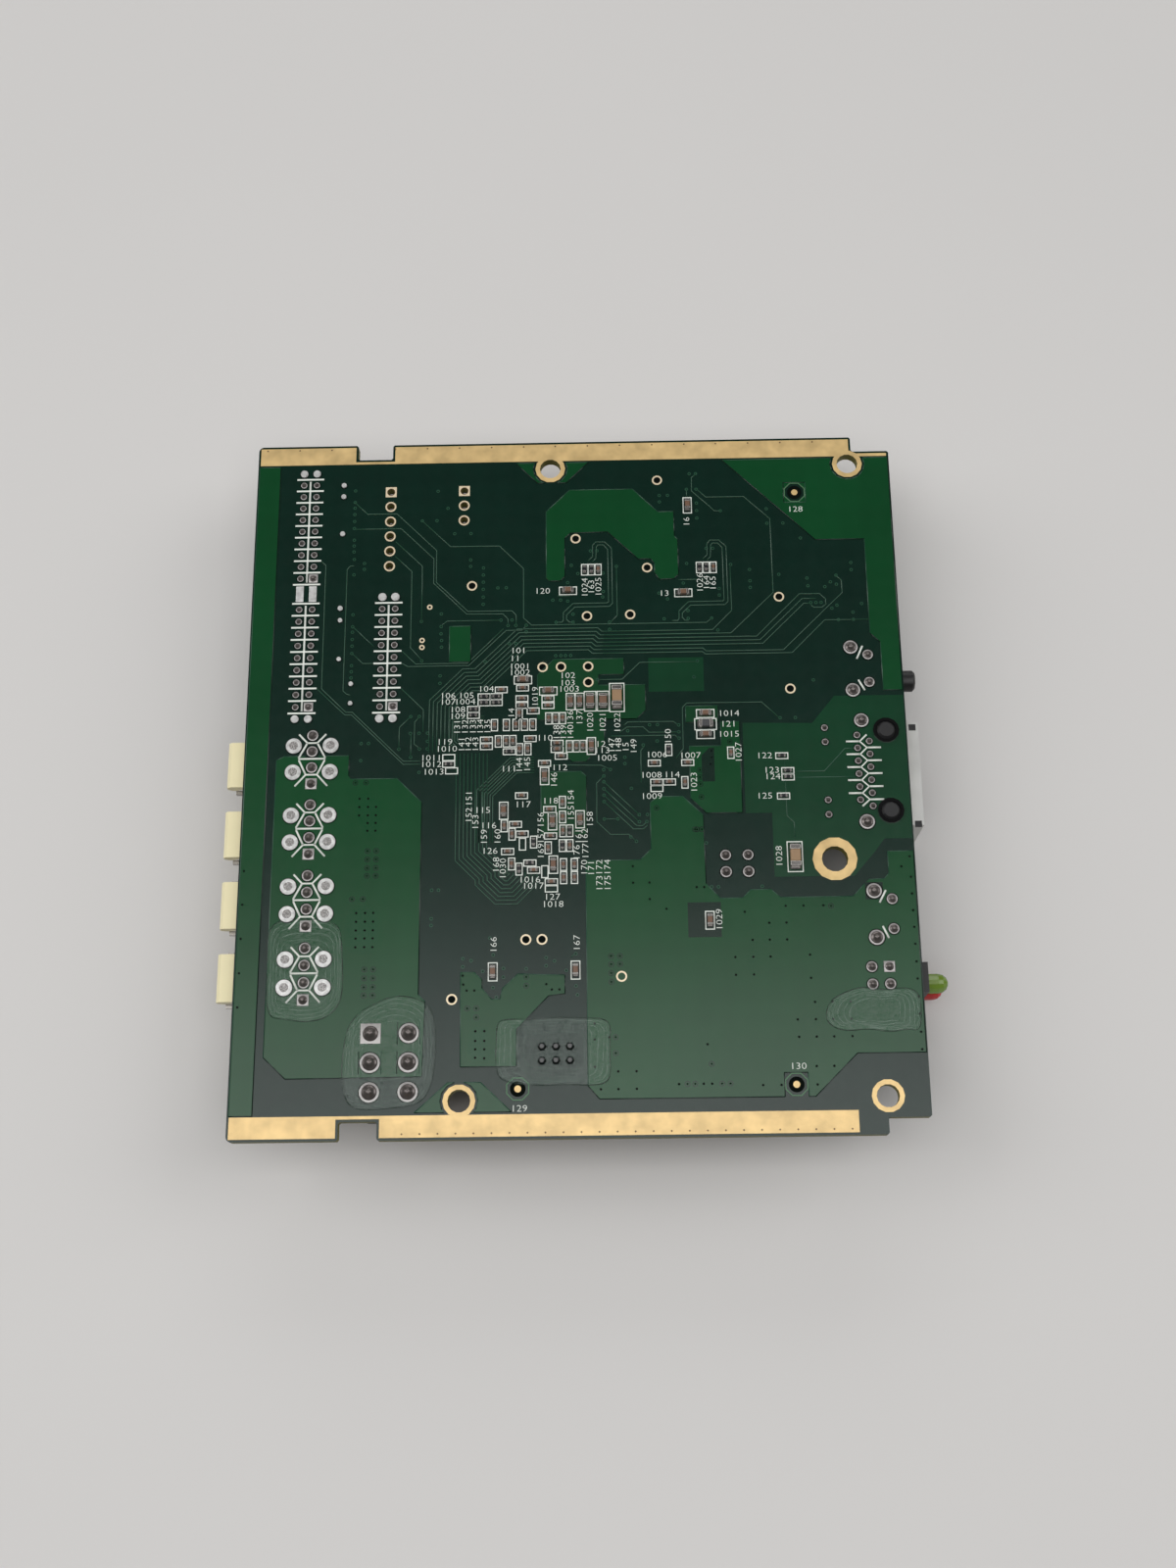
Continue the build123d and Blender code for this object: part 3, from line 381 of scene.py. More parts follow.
def ribbons(lines: Sequence[Sequence[Vector]], width: float, thickness: float, name: str) -> bpy.types.Object:
    """Lay flat ribbons along lines, such as traces and printed strokes.

    Args:
        lines: Corner points of each ribbon's middle, in metres.
        width: Width of the ribbons in millimetres.
        thickness: Thickness of the ribbons in millimetres.
        name: Name of the joined ribbons.

    Returns:
        The ribbons as one mesh.
    """
    curve = bpy.data.curves.new(name, "CURVE")
    curve.dimensions = "3D"
    curve.twist_mode = "Z_UP"
    curve.extrude = width / 2 * MILLIMETRE
    for line in lines:
        spline = curve.splines.new("POLY")
        spline.points.add(len(line) - 1)
        for point, place in zip(spline.points, line):
            point.co = (*place, 1)
            point.tilt = math.pi / 2
    ribbon = as_mesh(add_object(name, curve))
    with editing(ribbon):
        bpy.ops.mesh.select_all(action="SELECT")
        bpy.ops.mesh.normals_make_consistent(inside=False)
    if ribbon.data.polygons and sum(polygon.normal.z for polygon in ribbon.data.polygons) < 0:
        ribbon.data.flip_normals()
    pick(ribbon)
    solidify = ribbon.modifiers.new("thickness", "SOLIDIFY")
    solidify.thickness = thickness * MILLIMETRE
    solidify.offset = 1
    bpy.ops.object.modifier_apply(modifier=solidify.name)
    return ribbon


def disc(radius: float, thickness: float, sides: int, name: str) -> bpy.types.Object:
    """Add a low round plate that stands on the origin's level.

    Args:
        radius: Radius in millimetres.
        thickness: Height in millimetres.
        sides: Number of sides.
        name: Name of the plate.

    Returns:
        The plate, with its place in its mesh.
    """
    deselect()
    bpy.ops.mesh.primitive_cylinder_add(
        vertices=sides,
        radius=radius * MILLIMETRE,
        depth=thickness * MILLIMETRE,
        location=(0, 0, thickness / 2 * MILLIMETRE),
    )
    plate = settle(bpy.context.object)
    plate.name = name
    return plate


def hollow(plate: bpy.types.Object, band: float, thickness: float) -> bpy.types.Object:
    """Keep only a band along the edge of a flat face, and thicken it upwards, both in metres."""
    with editing(plate):
        bpy.ops.mesh.select_all(action="SELECT")
        bpy.ops.mesh.inset(thickness=band)
        bpy.ops.mesh.delete(type="FACE")
        bpy.ops.mesh.select_all(action="SELECT")
        bpy.ops.mesh.extrude_region_move(TRANSFORM_OT_translate={"value": (0, 0, thickness)})
        bpy.ops.mesh.select_all(action="SELECT")
        bpy.ops.mesh.normals_make_consistent(inside=False)
    return plate


def ring(outer: float, inner: float, thickness: float, sides: int, name: str) -> bpy.types.Object:
    """Add a flat ring on the origin's level, open in its middle.

    Args:
        outer: Outer radius in millimetres.
        inner: Inner radius in millimetres.
        thickness: Height in millimetres.
        sides: Number of sides.
        name: Name of the ring.

    Returns:
        The ring, with its place in its mesh.
    """
    deselect()
    bpy.ops.mesh.primitive_circle_add(vertices=sides, radius=outer * MILLIMETRE, fill_type="NGON")
    band = settle(bpy.context.object)
    band.name = name
    width = (outer - inner) * math.cos(math.pi / sides) * MILLIMETRE
    return hollow(band, width, thickness * MILLIMETRE)


def mask_opening(width: float, margin: float, sides: int) -> bpy.types.Object:
    """Model the dark ring of open mask round a pad, from the pad's width and its margin, in millimetres."""
    return ring(width / 2 + margin, width / 2 - OPENING_OVERLAP, OPENING_HEIGHT, sides, "rim")


def block(size: Sequence[float], name: str, middle: Vector | None = None) -> bpy.types.Object:
    """Add a block of a given size in metres.

    Args:
        size: Lengths along X, Y and Z.
        name: Name of the block.
        middle: Its middle, or the origin if none is given.

    Returns:
        The block, with its size and place in its mesh.
    """
    deselect()
    bpy.ops.mesh.primitive_cube_add(size=1, location=middle or Vector(), scale=size)
    piece = settle(bpy.context.object)
    piece.name = name
    return piece


def soften(piece: bpy.types.Object, width: float, segments: int = 1) -> bpy.types.Object:
    """Round a piece's edges with a bevel, its width in millimetres."""
    pick(piece)
    bevel = piece.modifiers.new("soft_edges", "BEVEL")
    bevel.width = width * MILLIMETRE
    bevel.segments = segments
    bevel.limit_method = "ANGLE"
    bpy.ops.object.modifier_apply(modifier=bevel.name)
    return piece


def smooth(piece: bpy.types.Object, angle: float = 40.0) -> bpy.types.Object:
    """Shade a piece smooth across edges flatter than an angle in degrees."""
    pick(piece)
    bpy.ops.object.shade_smooth_by_angle(angle=math.radians(angle))
    return piece


def screen_colour(red: int, green: int, blue: int) -> Colour:
    """Turn a colour as a screen shows it, 0 to 255, into the linear values that a shader takes."""

    def linear(value: int) -> float:
        """One channel of the colour."""
        share = value / 255
        return share / 12.92 if share <= 0.04045 else ((share + 0.055) / 1.055) ** 2.4

    return linear(red), linear(green), linear(blue)


Operand = "Value | float"
Tint = Colour | bpy.types.NodeSocket


@dataclass(frozen=True)
class Value:
    """A number in a shader, which adds its own Math nodes when it is used in an expression."""

    tree: "Shader"
    socket: bpy.types.NodeSocket

    def _math(self, operation: str, *inputs: Operand) -> "Value":
        """Add one Math node and return its result."""
        node = self.tree.add("ShaderNodeMath", {"operation": operation}, dict(enumerate(inputs)))
        return Value(self.tree, node.outputs[0])

    def __add__(self, other: Operand) -> "Value":
        """Sum."""
        return self._math("ADD", self, other)

    def __radd__(self, other: float) -> "Value":
        """Sum with a plain number first."""
        return self._math("ADD", other, self)

    def __sub__(self, other: Operand) -> "Value":
        """Difference."""
        return self._math("SUBTRACT", self, other)

    def __rsub__(self, other: float) -> "Value":
        """Difference from a plain number."""
        return self._math("SUBTRACT", other, self)

    def __mul__(self, other: Operand) -> "Value":
        """Product."""
        return self._math("MULTIPLY", self, other)

    def __rmul__(self, other: float) -> "Value":
        """Product with a plain number first."""
        return self._math("MULTIPLY", other, self)

    def above(self, limit: float) -> "Value":
        """One where the value is over the limit, otherwise nought."""
        return self._math("GREATER_THAN", self, limit)

    def clamped(self) -> "Value":
        """The value held between nought and one."""
        return self._math("MAXIMUM", self._math("MINIMUM", self, 1.0), 0.0)


class Shader:
    """A material's node tree, with its output and its main surface."""

    def __init__(self, name: str) -> None:
        """Start a material with an empty tree.

        Args:
            name: Name of the material.
        """
        self.material = bpy.data.materials.new(name)
        self.material.use_nodes = True
        self.nodes = self.material.node_tree.nodes
        self.links = self.material.node_tree.links
        self.nodes.clear()
        self.surface = self.add("ShaderNodeBsdfPrincipled")
        self.output = self.add("ShaderNodeOutputMaterial", inputs={"Surface": self.surface.outputs[0]})

    def add(self, kind: str, settings: dict | None = None, inputs: dict | None = None) -> bpy.types.Node:
        """Add a node of any kind.

        Args:
            kind: The node's type.
            settings: The node's own settings, and a ramp's stops under "stops", set first.
            inputs: For each socket, by name or number, the number, colour, socket or Value that it takes.

        Returns:
            The new node.
        """
        node = self.nodes.new(kind)
        for setting, value in (settings or {}).items():
            if setting == "stops":
                self._set_stops(node, value)
            else:
                setattr(node, setting, value)
        for socket, value in (inputs or {}).items():
            self.feed(node.inputs[socket], value)
        return node

    def _set_stops(self, ramp: bpy.types.Node, stops: Sequence[tuple[float, Colour]]) -> None:
        """Set a colour ramp's stops."""
        elements = ramp.color_ramp.elements
        while len(elements) < len(stops):
            elements.new(1.0)
        for element, (position, colour) in zip(elements, stops):
            element.position = position
            element.color = (*colour, 1.0)

    def feed(self, socket: bpy.types.NodeSocket, value: object) -> None:
        """Give a socket its number or colour, or link what makes it."""
        if isinstance(value, Value):
            self.links.new(value.socket, socket)
        elif isinstance(value, bpy.types.NodeSocket):
            self.links.new(value, socket)
        elif isinstance(value, tuple) and len(value) == 3 and socket.type == "RGBA":
            socket.default_value = (*value, 1.0)
        else:
            socket.default_value = value

    def place(self) -> bpy.types.NodeSocket:
        """Object coordinates."""
        return self.add("ShaderNodeTexCoord").outputs["Object"]

    def noise(self, scale: float, detail: float = 2.0) -> Value:
        """Noise of a given scale over the object, from nought to one."""
        node = self.add(
            "ShaderNodeTexNoise", inputs={"Vector": self.place(), "Scale": scale, "Detail": detail}
        )
        return Value(self, node.outputs["Fac"])

    def mix(self, share: Value, first: Tint, second: Tint) -> bpy.types.NodeSocket:
        """Blend two colours by a share from nought to one."""
        node = self.add("ShaderNodeMix", {"data_type": "RGBA"}, {0: share, 6: first, 7: second})
        return node.outputs[2]

    def bump(self, height: Value, strength: float, distance: float) -> None:
        """Roughen the surface's normal by a height pattern, its depth in millimetres."""
        inputs = {"Height": height, "Strength": strength, "Distance": distance * MILLIMETRE}
        node = self.add("ShaderNodeBump", inputs=inputs)
        self.feed(self.surface.inputs["Normal"], node.outputs[0])

    def set(self, **values: object) -> None:
        """Feed sockets of the main surface, with underscores for the spaces in their names."""
        for name, value in values.items():
            self.feed(self.surface.inputs[name.replace("_", " ").title().replace("Ior", "IOR")], value)


@dataclass(frozen=True)
class Finish(ABC):
    """A finish of one colour, given as a screen shows it, 0 to 255."""

    name: str
    shade: tuple[int, int, int]

    @property
    def colour(self) -> Colour:
        """The colour in the linear values that a shader takes."""
        return screen_colour(*self.shade)

    @abstractmethod
    def material(self) -> bpy.types.Material:
        """Build the finish's material."""


@dataclass(frozen=True)
class PlainFinish(Finish):
    """A finish of one colour with a little mottling and grain."""

    roughness: float
    metallic: float = 0.0
    coat: float = 0.0
    mottle: float = 0.15
    mottle_scale: float = 400.0
    grain: float = 0.0
    gloss: float = 0.5
    contrast: float = 1.0
    wear: float = 0.1
    grain_ratio: float = 8.0
    grain_depth: float = 0.05

    def material(self) -> bpy.types.Material:
        """Build the finish's material."""
        shader = Shader(self.name)
        cloud = shader.noise(self.mottle_scale)
        share = ((cloud - 0.5) * self.contrast + 0.5).clamped()
        darker: Colour = tuple(channel * (1 - self.mottle) for channel in self.colour)
        shader.set(
            base_color=shader.mix(share, darker, self.colour),
            roughness=self.roughness + (cloud - 0.5) * self.wear,
            metallic=self.metallic,
            coat_weight=self.coat,
            specular_ior_level=self.gloss,
        )
        if self.grain:
            shader.bump(shader.noise(self.mottle_scale * self.grain_ratio), self.grain, self.grain_depth)
        return shader.material


@dataclass(frozen=True)
class MaskFinish(Finish):
    """Green solder mask over copper or bare fibreglass, with fibreglass showing on the board's cut edges."""

    weave: float = 0.25
    weave_pitch: float = 0.55
    roughness: float = 0.2
    edge_colour: Colour = screen_colour(106, 102, 46)
    edge_roughness: float = 0.4
    darkest: float = 0.72
    lightest: float = 1.18
    cloud_scale: float = 60.0
    wear_scale: float = 900.0
    wear: float = 0.06
    grain_scale: float = 2500.0
    grain: float = 0.12
    grain_depth: float = 0.02

    def cloth(self, shader: Shader) -> Value:
        """Pattern of the woven glass, from crossed bands and broad clouds."""
        scale = 1 / (self.weave_pitch * MILLIMETRE) / WAVE_FACTOR
        bands = [
            Value(
                shader,
                shader.add(
                    "ShaderNodeTexWave",
                    {"wave_type": "BANDS", "bands_direction": direction},
                    {"Vector": shader.place(), "Scale": scale, "Distortion": 0.6, "Detail": 1.0},
                ).outputs["Fac"],
            )
            for direction in ("X", "Y")
        ]
        clouds = shader.noise(self.cloud_scale) * (1 - self.weave)
        return ((bands[0] + bands[1]) * 0.5 * self.weave + clouds).clamped()

    def material(self) -> bpy.types.Material:
        """Build the mask's material."""
        shader = Shader(self.name)
        darker: Colour = tuple(channel * self.darkest for channel in self.colour)
        lighter: Colour = tuple(channel * self.lightest for channel in self.colour)
        mask = shader.mix(self.cloth(shader), darker, lighter)
        normal = shader.add("ShaderNodeNewGeometry").outputs["True Normal"]
        upright = Value(shader, shader.add("ShaderNodeSeparateXYZ", inputs={0: normal}).outputs["Z"])
        face = (upright * upright).above(0.5)
        wear = shader.noise(self.wear_scale) * self.wear
        shader.set(
            base_color=shader.mix(face, self.edge_colour, mask),
            roughness=self.roughness + (1 - face) * self.edge_roughness + wear,
            specular_ior_level=0.5,
        )
        shader.bump(shader.noise(self.grain_scale), self.grain, self.grain_depth)
        return shader.material


@dataclass(frozen=True)
class ClearFinish(Finish):
    """A tinted clear plastic, as of a lamp's lens."""

    transmission: float
    roughness: float = 0.15

    def material(self) -> bpy.types.Material:
        """Build the plastic's material."""
        shader = Shader(self.name)
        shader.set(
            base_color=self.colour,
            roughness=self.roughness,
            transmission_weight=self.transmission,
        )
        return shader.material


@dataclass(frozen=True)
class GlueFinish(Finish):
    """A thin film that shows as fine pale or dark streaks over what it lies on, such as clear glue."""

    cover: float
    streak_scale: float = 2600.0
    roughness: float = 0.2
    barest: float = 0.3
    grain: float = 0.8
    grain_depth: float = 0.1

    def material(self) -> bpy.types.Material:
        """Build the film's material."""
        shader = Shader(self.name)
        streaks = shader.noise(self.streak_scale, 4.0)
        shader.set(
            base_color=self.colour,
            roughness=self.roughness,
            alpha=((streaks - self.barest) * self.cover).clamped(),
        )
        shader.bump(streaks, self.grain, self.grain_depth)
        return shader.material


class Finishes:
    """Every finish of the board, one material for each of the record's slots."""

    def __init__(self) -> None:
        """Build the materials, each once."""
        kinds = [
            MaskFinish("solder_mask_dark", (5, 35, 26)),
            MaskFinish("solder_mask_light", (7, 65, 32), weave=0.12),
            PlainFinish(
                "gold_plate", (236, 203, 142), 0.34, metallic=0.3, mottle=0.26, grain=0.25,
                contrast=2.6,
            ),
            PlainFinish(
                "solder", (230, 230, 228), 0.3, metallic=0.4, mottle=0.34, mottle_scale=1500.0,
                grain=0.3, contrast=2.2,
            ),
            PlainFinish("white_print", (222, 226, 218), 0.6, mottle=0.08),
            PlainFinish("sealant_black", (14, 14, 15), 0.12, coat=0.5),
            PlainFinish("black_plastic", (24, 24, 25), 0.45, grain=0.1),
            PlainFinish("cream_nylon", (238, 228, 186), 0.42, mottle=0.05),
            PlainFinish("tinned_pin", (170, 166, 162), 0.26, metallic=0.85),
            PlainFinish("jack_steel", (214, 214, 211), 0.3, metallic=0.5, mottle=0.08),
            PlainFinish("gold_contact", (226, 186, 104), 0.22, metallic=1.0),
            PlainFinish("tan_ceramic", (112, 84, 66), 0.4, mottle=0.2),
            PlainFinish("black_ceramic", (22, 24, 28), 0.35),
            PlainFinish("ferrite_grey", (62, 62, 64), 0.55, grain=0.2),
            PlainFinish("chip_black", (30, 31, 33), 0.55, grain=0.15),
            PlainFinish("can_aluminium", (200, 202, 205), 0.3, metallic=1.0),
            ClearFinish("green_lens", (126, 158, 60), transmission=0.35),
            ClearFinish("red_lens", (214, 38, 34), transmission=0.3),
        ]
        self.materials = {kind.name: kind.material() for kind in kinds}
        self.extras = {
            kind.name: kind.material()
            for kind in [
                MaskFinish("mask_over_inner_copper", (10, 56, 33), weave=0.2),
                # The trace and gap finishes also paint the highlight and the shade on the copper fields'
                # steps
                MaskFinish("mask_over_trace_and_step_highlight", (38, 76, 58), weave=0.05),
                MaskFinish("mask_over_field", (12, 60, 32), weave=0.12),
                MaskFinish("mask_over_gap_and_step_shade", (6, 34, 24), weave=0.2),
                PlainFinish("ring_gold", (238, 220, 188), 0.35, metallic=0.3, mottle=0.05),
                # Two copies of the joints' solder: painted shade on the fillets and a painted highlight on
                # the pads
                PlainFinish(
                    "shaded_joint_solder", (122, 115, 112), 0.3, metallic=0.7, mottle=0.3,
                    mottle_scale=900.0, grain=0.15,
                ),
                PlainFinish(
                    "lit_pad_solder", (184, 180, 178), 0.34, metallic=0.4, mottle=0.3,
                    mottle_scale=1400.0, grain=0.25,
                ),
                # A darker copy of the tinned pin for the pin ends on the soldered side: painted shade
                PlainFinish("shaded_pin_end", (84, 78, 76), 0.22, metallic=0.9, mottle=0.3, mottle_scale=1600.0),
                PlainFinish(
                    "chip_ends", (150, 146, 142), 0.24, metallic=0.75, mottle=0.3,
                    mottle_scale=900.0,
                ),
                PlainFinish("large_ceramic", (150, 122, 92), 0.4, mottle=0.12),
                # Glue colours: pale film and ripples as painted sheen of the clear glue, dark rim as painted
                # shade
                GlueFinish("clear_glue_painted_sheen", (190, 208, 196), cover=0.12),
                GlueFinish("glue_ripple_painted_sheen", (150, 176, 160), cover=0.45, streak_scale=1100.0),
                GlueFinish("dome_speckle", (112, 104, 100), cover=1.3, streak_scale=7000.0, roughness=0.4),
                GlueFinish("glue_rim_painted_shade", (12, 44, 28), cover=1.3, streak_scale=900.0),
                # Painted shade for the holes, and the dark of the bare rings where the mask is open round
                # pads and aiming marks
                PlainFinish("hole_shade_and_open_mask", (6, 12, 9), 0.8, gloss=0.05),
                PlainFinish("mould_mark", (58, 58, 60), 0.4),
                PlainFinish("can_print", (30, 32, 38), 0.5),
                PlainFinish("dot_brown", (92, 62, 30), 0.6),
                PlainFinish("aiming_line", (70, 112, 78), 0.4),
            ]
        }

    def paint(self, piece: bpy.types.Object, slot: str, extra: str | None = None) -> None:
        """Give a piece the record's slot and its material.

        Args:
            piece: The piece to paint.
            slot: The record's slot.
            extra: A finer finish of that slot, where the piece has one.
        """
        piece.data.materials.clear()
        piece.data.materials.append(self.extras[extra] if extra else self.materials[slot])

    def paint_frame(self) -> None:
        """Give each CAD node the material of its slot in the record; pin ends on the soldered side get
        painted shade.
        """
        soldered_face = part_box("board")[1].z
        for entry in frame["record"]["subparts"]:
            node = nodes[entry["node"]]
            node.data.materials.clear()
            # Tinned pins that stand out of the soldered side take the darker copy, as painted shade
            soldered = entry["material_slot"] == "tinned_pin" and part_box(entry["node"])[1].z > soldered_face
            node.data.materials.append(
                self.extras["shaded_pin_end"] if soldered else self.materials[entry["material_slot"]]
            )


@dataclass
class Dressing(ABC):
    """One sub-assembly of the picture, which models, paints and hands in its own pieces."""

    board: Board
    finishes: Finishes

    @abstractmethod
    def dress(self) -> None:
        """Build every piece of the sub-assembly."""

    def hand_in(self, piece: bpy.types.Object, slot: str, extra: str | None = None) -> None:
        """Paint a finished piece, let it ride on the board, and report it.

        Args:
            piece: The piece, with its place in its mesh.
            slot: The record's slot.
            extra: A finer finish of that slot, where the piece has one.
        """
        self.finishes.paint(piece, slot, extra)
        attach(piece, "board_assembly")
        logger.info("%s: %d faces", piece.name, len(piece.data.polygons))


@dataclass
class SolderJoints(Dressing):
    """Solder at each pin: a pad in a thin open ring of the mask, and a fillet that climbs to the pin."""

    sides: int = 20
    pad_height: float = 0.06
    pad_slope: float = 0.04
    fillet_share: float = 0.78
    steps: Sequence[tuple[float, float]] = ((0.07, 0.1), (0.08, 0.16), (0.07, 0.26), (0.05, 0.34))
    rim: float = 0.13
    first_pins: Sequence[Point] = (
        (20.1, 14.8), (94.8, 23.5), (10.1, 20.0), (10.1, 30.8), (10.1, 41.8), (10.1, 52.7), (9.5, 85.9),
        (9.4, 64.7), (22.2, 64.7),
    )
    first_pin_reach: float = 0.7

    def is_first(self, place: Vector) -> bool:
        """Tell whether a joint is a connector's first pin, whose pad is square."""
        spot = self.board.over(place, 0)
        reach = self.first_pin_reach * MILLIMETRE
        return any((self.board.at(x, y) - spot).length < reach for x, y in self.first_pins)

    def pad(self, width: float, square: bool) -> bpy.types.Object:
        """Model the tinned pad under a joint, with a slightly raised middle.

        Args:
            width: Width of the pad in millimetres.
            square: Whether the pad is square.

        Returns:
            The pad at the origin.
        """
        if square:
            middle = Vector((0, 0, self.pad_height / 2 * MILLIMETRE))
            side = width * MILLIMETRE
            piece = block((side, side, self.pad_height * MILLIMETRE), "pad", middle)
        else:
            piece = disc(width / 2, self.pad_height, self.sides, "pad")
        with editing(piece):
            choose_faces(piece, UP)
            slope = self.pad_slope * MILLIMETRE
            bpy.ops.mesh.inset(thickness=slope * width, depth=slope)
        return smooth(piece, 70)

    def joint(self, width: float, height: float) -> bpy.types.Object:
        """Model the solder that climbs from the pad to the pin, steeper towards the pin.

        Args:
            width: Width of the pad in millimetres.
            height: Height of the solder in millimetres.

        Returns:
            The joint at the origin.
        """
        piece = disc(width * self.fillet_share / 2, self.pad_height * 2, self.sides, "joint")
        with editing(piece):
            choose_faces(piece, UP)
            for inset, rise in self.steps:
                bpy.ops.mesh.inset(thickness=inset * width * MILLIMETRE, depth=rise * height * MILLIMETRE)
        return smooth(piece, 70)

    def build(self) -> tuple[bpy.types.Object, bpy.types.Object, bpy.types.Object]:
        """Set a pad and a joint over each of the CAD node's fillets, and a dark ring of open mask round it.

        Returns:
            All the joints, all the pads and all the rings.
        """
        groups: dict[tuple[float, float, bool], list[Spot]] = {}
        for fillet in solids_of("solder_fillets"):
            width = round(fillet.length / MILLIMETRE, 1)
            height = round(fillet.size.z / MILLIMETRE, 1)
            key = (width, height, self.is_first(fillet.middle))
            groups.setdefault(key, []).append((self.board.over(fillet.middle, 0), 0.0))
        joints = []
        pads = []
        rims = []
        for (width, height, square), places in groups.items():
            joints.append(stamp(self.joint(width, height), places, "joints"))
            pads.append(stamp(self.pad(width, square), places, "pads"))
            if not square:
                rims.append(stamp(mask_opening(width, self.rim, self.sides), places, "rims"))
        return join(joints, "solder_joints"), join(pads, "joint_pads"), join(rims, "joint_rims")

    def dress(self) -> None:
        """Finish the joints and put them in place of the plain fillets."""
        joints, pads, rims = self.build()
        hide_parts("solder_fillets")
        # The fillets are painted darker as shade and the pads paler as a highlight, both of one solder
        self.hand_in(joints, "solder", "shaded_joint_solder")
        self.hand_in(pads, "solder", "lit_pad_solder")
        self.hand_in(rims, "solder_mask_dark", "hole_shade_and_open_mask")


@dataclass
class ChipSet(Dressing):
    """Chip capacitors, resistors and the bead: a body between two tinned ends, in shares of a chip's size."""

    body_slots: dict[str, str] = field(
        default_factory=lambda: {
            "tiny_capacitors": "tan_ceramic",
            "small_capacitors": "tan_ceramic",
            "medium_capacitors": "tan_ceramic",
            "large_capacitors": "tan_ceramic",
            "ferrite_bead": "ferrite_grey",
            "tiny_resistors": "black_ceramic",
        }
    )
    end_share: float = 0.22
    body_width: float = 0.92
    body_height: float = 0.94
    foot_length: float = 0.8
    foot_width: float = 0.96
    foot_height: float = 0.35
    foot_reach: float = 0.15
    foot_drop: float = 0.3
    body_round: float = 0.05
    cap_round: float = 0.06
    foot_round: float = 0.1

    def body(self, size: Vector) -> bpy.types.Object:
        """Model the ceramic body between the two ends, lying along X."""
        length = size.x * (1 - 2 * self.end_share)
        ceramic = block((length, size.y * self.body_width, size.z * self.body_height), "ceramic")
        return soften(ceramic, size.y * self.body_round / MILLIMETRE)

    def ends(self, size: Vector) -> bpy.types.Object:
        """Model the two tinned ends, with solder that runs out to the pads."""
        length = size.x * self.end_share
        foot_size = (length * self.foot_length, size.y * self.foot_width, size.z * self.foot_height)
        caps = []
        for side in (1, -1):
            cap = block((length, size.y, size.z), "cap", Vector((side * (size.x - length) / 2, 0, 0)))
            reach = size.x / 2 + length * self.foot_reach
            foot = block(foot_size, "foot", Vector((side * reach, 0, -size.z * self.foot_drop)))
            caps.append(soften(cap, size.y * self.cap_round / MILLIMETRE, 2))
            caps.append(soften(foot, size.y * self.foot_round / MILLIMETRE))
        return join(caps, "ends")

    def dress(self) -> None:
        """Set a dressed chip over each plain one, and finish it."""
        for node, slot in self.body_slots.items():
            chips = solids_of(node)
            places = [(chip.middle, chip.turn.value) for chip in chips]
            size = Vector((chips[0].length, chips[0].width, chips[0].size.z))
            bodies = stamp(self.body(size), places, f"{node}_bodies")
            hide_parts(node)
            self.hand_in(bodies, slot, "large_ceramic" if node == "large_capacitors" else None)
            ends = stamp(self.ends(size), places, f"{node}_ends")
            self.hand_in(ends, "solder", "chip_ends")


@dataclass
class ThiefPads(Dressing):
    """Bright solder domes on the round pads beside the pins."""

    sides: int = 24
    base_height: float = 0.08
    dome_height: float = 0.28
    steps: Sequence[tuple[float, float]] = ((0.45, 0.14), (0.35, 0.3), (0.15, 0.42))
    dull_share: float = 0.28
    smallest_dull: float = 1.8
    dull_lift: float = 0.005
    dull_sides: int = 14
    rim: float = 0.1
    plate_share: float = 1.02
    plate_round: float = 0.06

    def dome(self, width: float) -> bpy.types.Object:
        """Model one dome in low steps, flat on its top."""
        piece = disc(width / 2, self.base_height, self.sides, "dome")
        with editing(piece):
            choose_faces(piece, UP)
            for rise, inset in self.steps:
                bpy.ops.mesh.extrude_region_move(
                    TRANSFORM_OT_translate={"value": (0, 0, rise * self.dome_height * MILLIMETRE)}
                )
                bpy.ops.mesh.inset(thickness=inset * width / 4 * MILLIMETRE)
        return smooth(piece, 60)

    def dress(self) -> None:
        """Set a dome over each round pad and a plate over each long one."""
        groups: dict[float, list[Spot]] = {}
        plates = []
        for pad in solids_of("thief_pads"):
            if pad.long:
                plate = block(pad.size * self.plate_share, "plate", pad.middle)
                plates.append(soften(plate, self.plate_round, 2))
            else:
                width = round(pad.size.x / MILLIMETRE, 1)
                groups.setdefault(width, []).append((self.board.over(pad.middle, 0), 0.0))
        domes = [stamp(self.dome(width), places, "domes") for width, places in groups.items()]
        rims = join(
            [
                stamp(mask_opening(width, self.rim, self.sides), places, "rims")
                for width, places in groups.items()
            ],
            "dome_rims",
        )
        self.hand_in(rims, "solder_mask_dark", "hole_shade_and_open_mask")
        pads = join(domes + plates, "solder_domes")
        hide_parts("thief_pads")
        self.hand_in(pads, "solder")
        height = self.base_height + self.dull_lift + self.dome_height * sum(rise for rise, _ in self.steps)
        top = UP * height * MILLIMETRE
        centres = join(
            [
                stamp(
                    disc(width * self.dull_share, DARK_FILM, self.dull_sides, "centre"),
                    [(place + top, turn) for place, turn in places],
                    "centres",
                )
                for width, places in groups.items()
                if width > self.smallest_dull
            ],
            "dome_centres",
        )
        self.hand_in(centres, "solder", "dome_speckle")


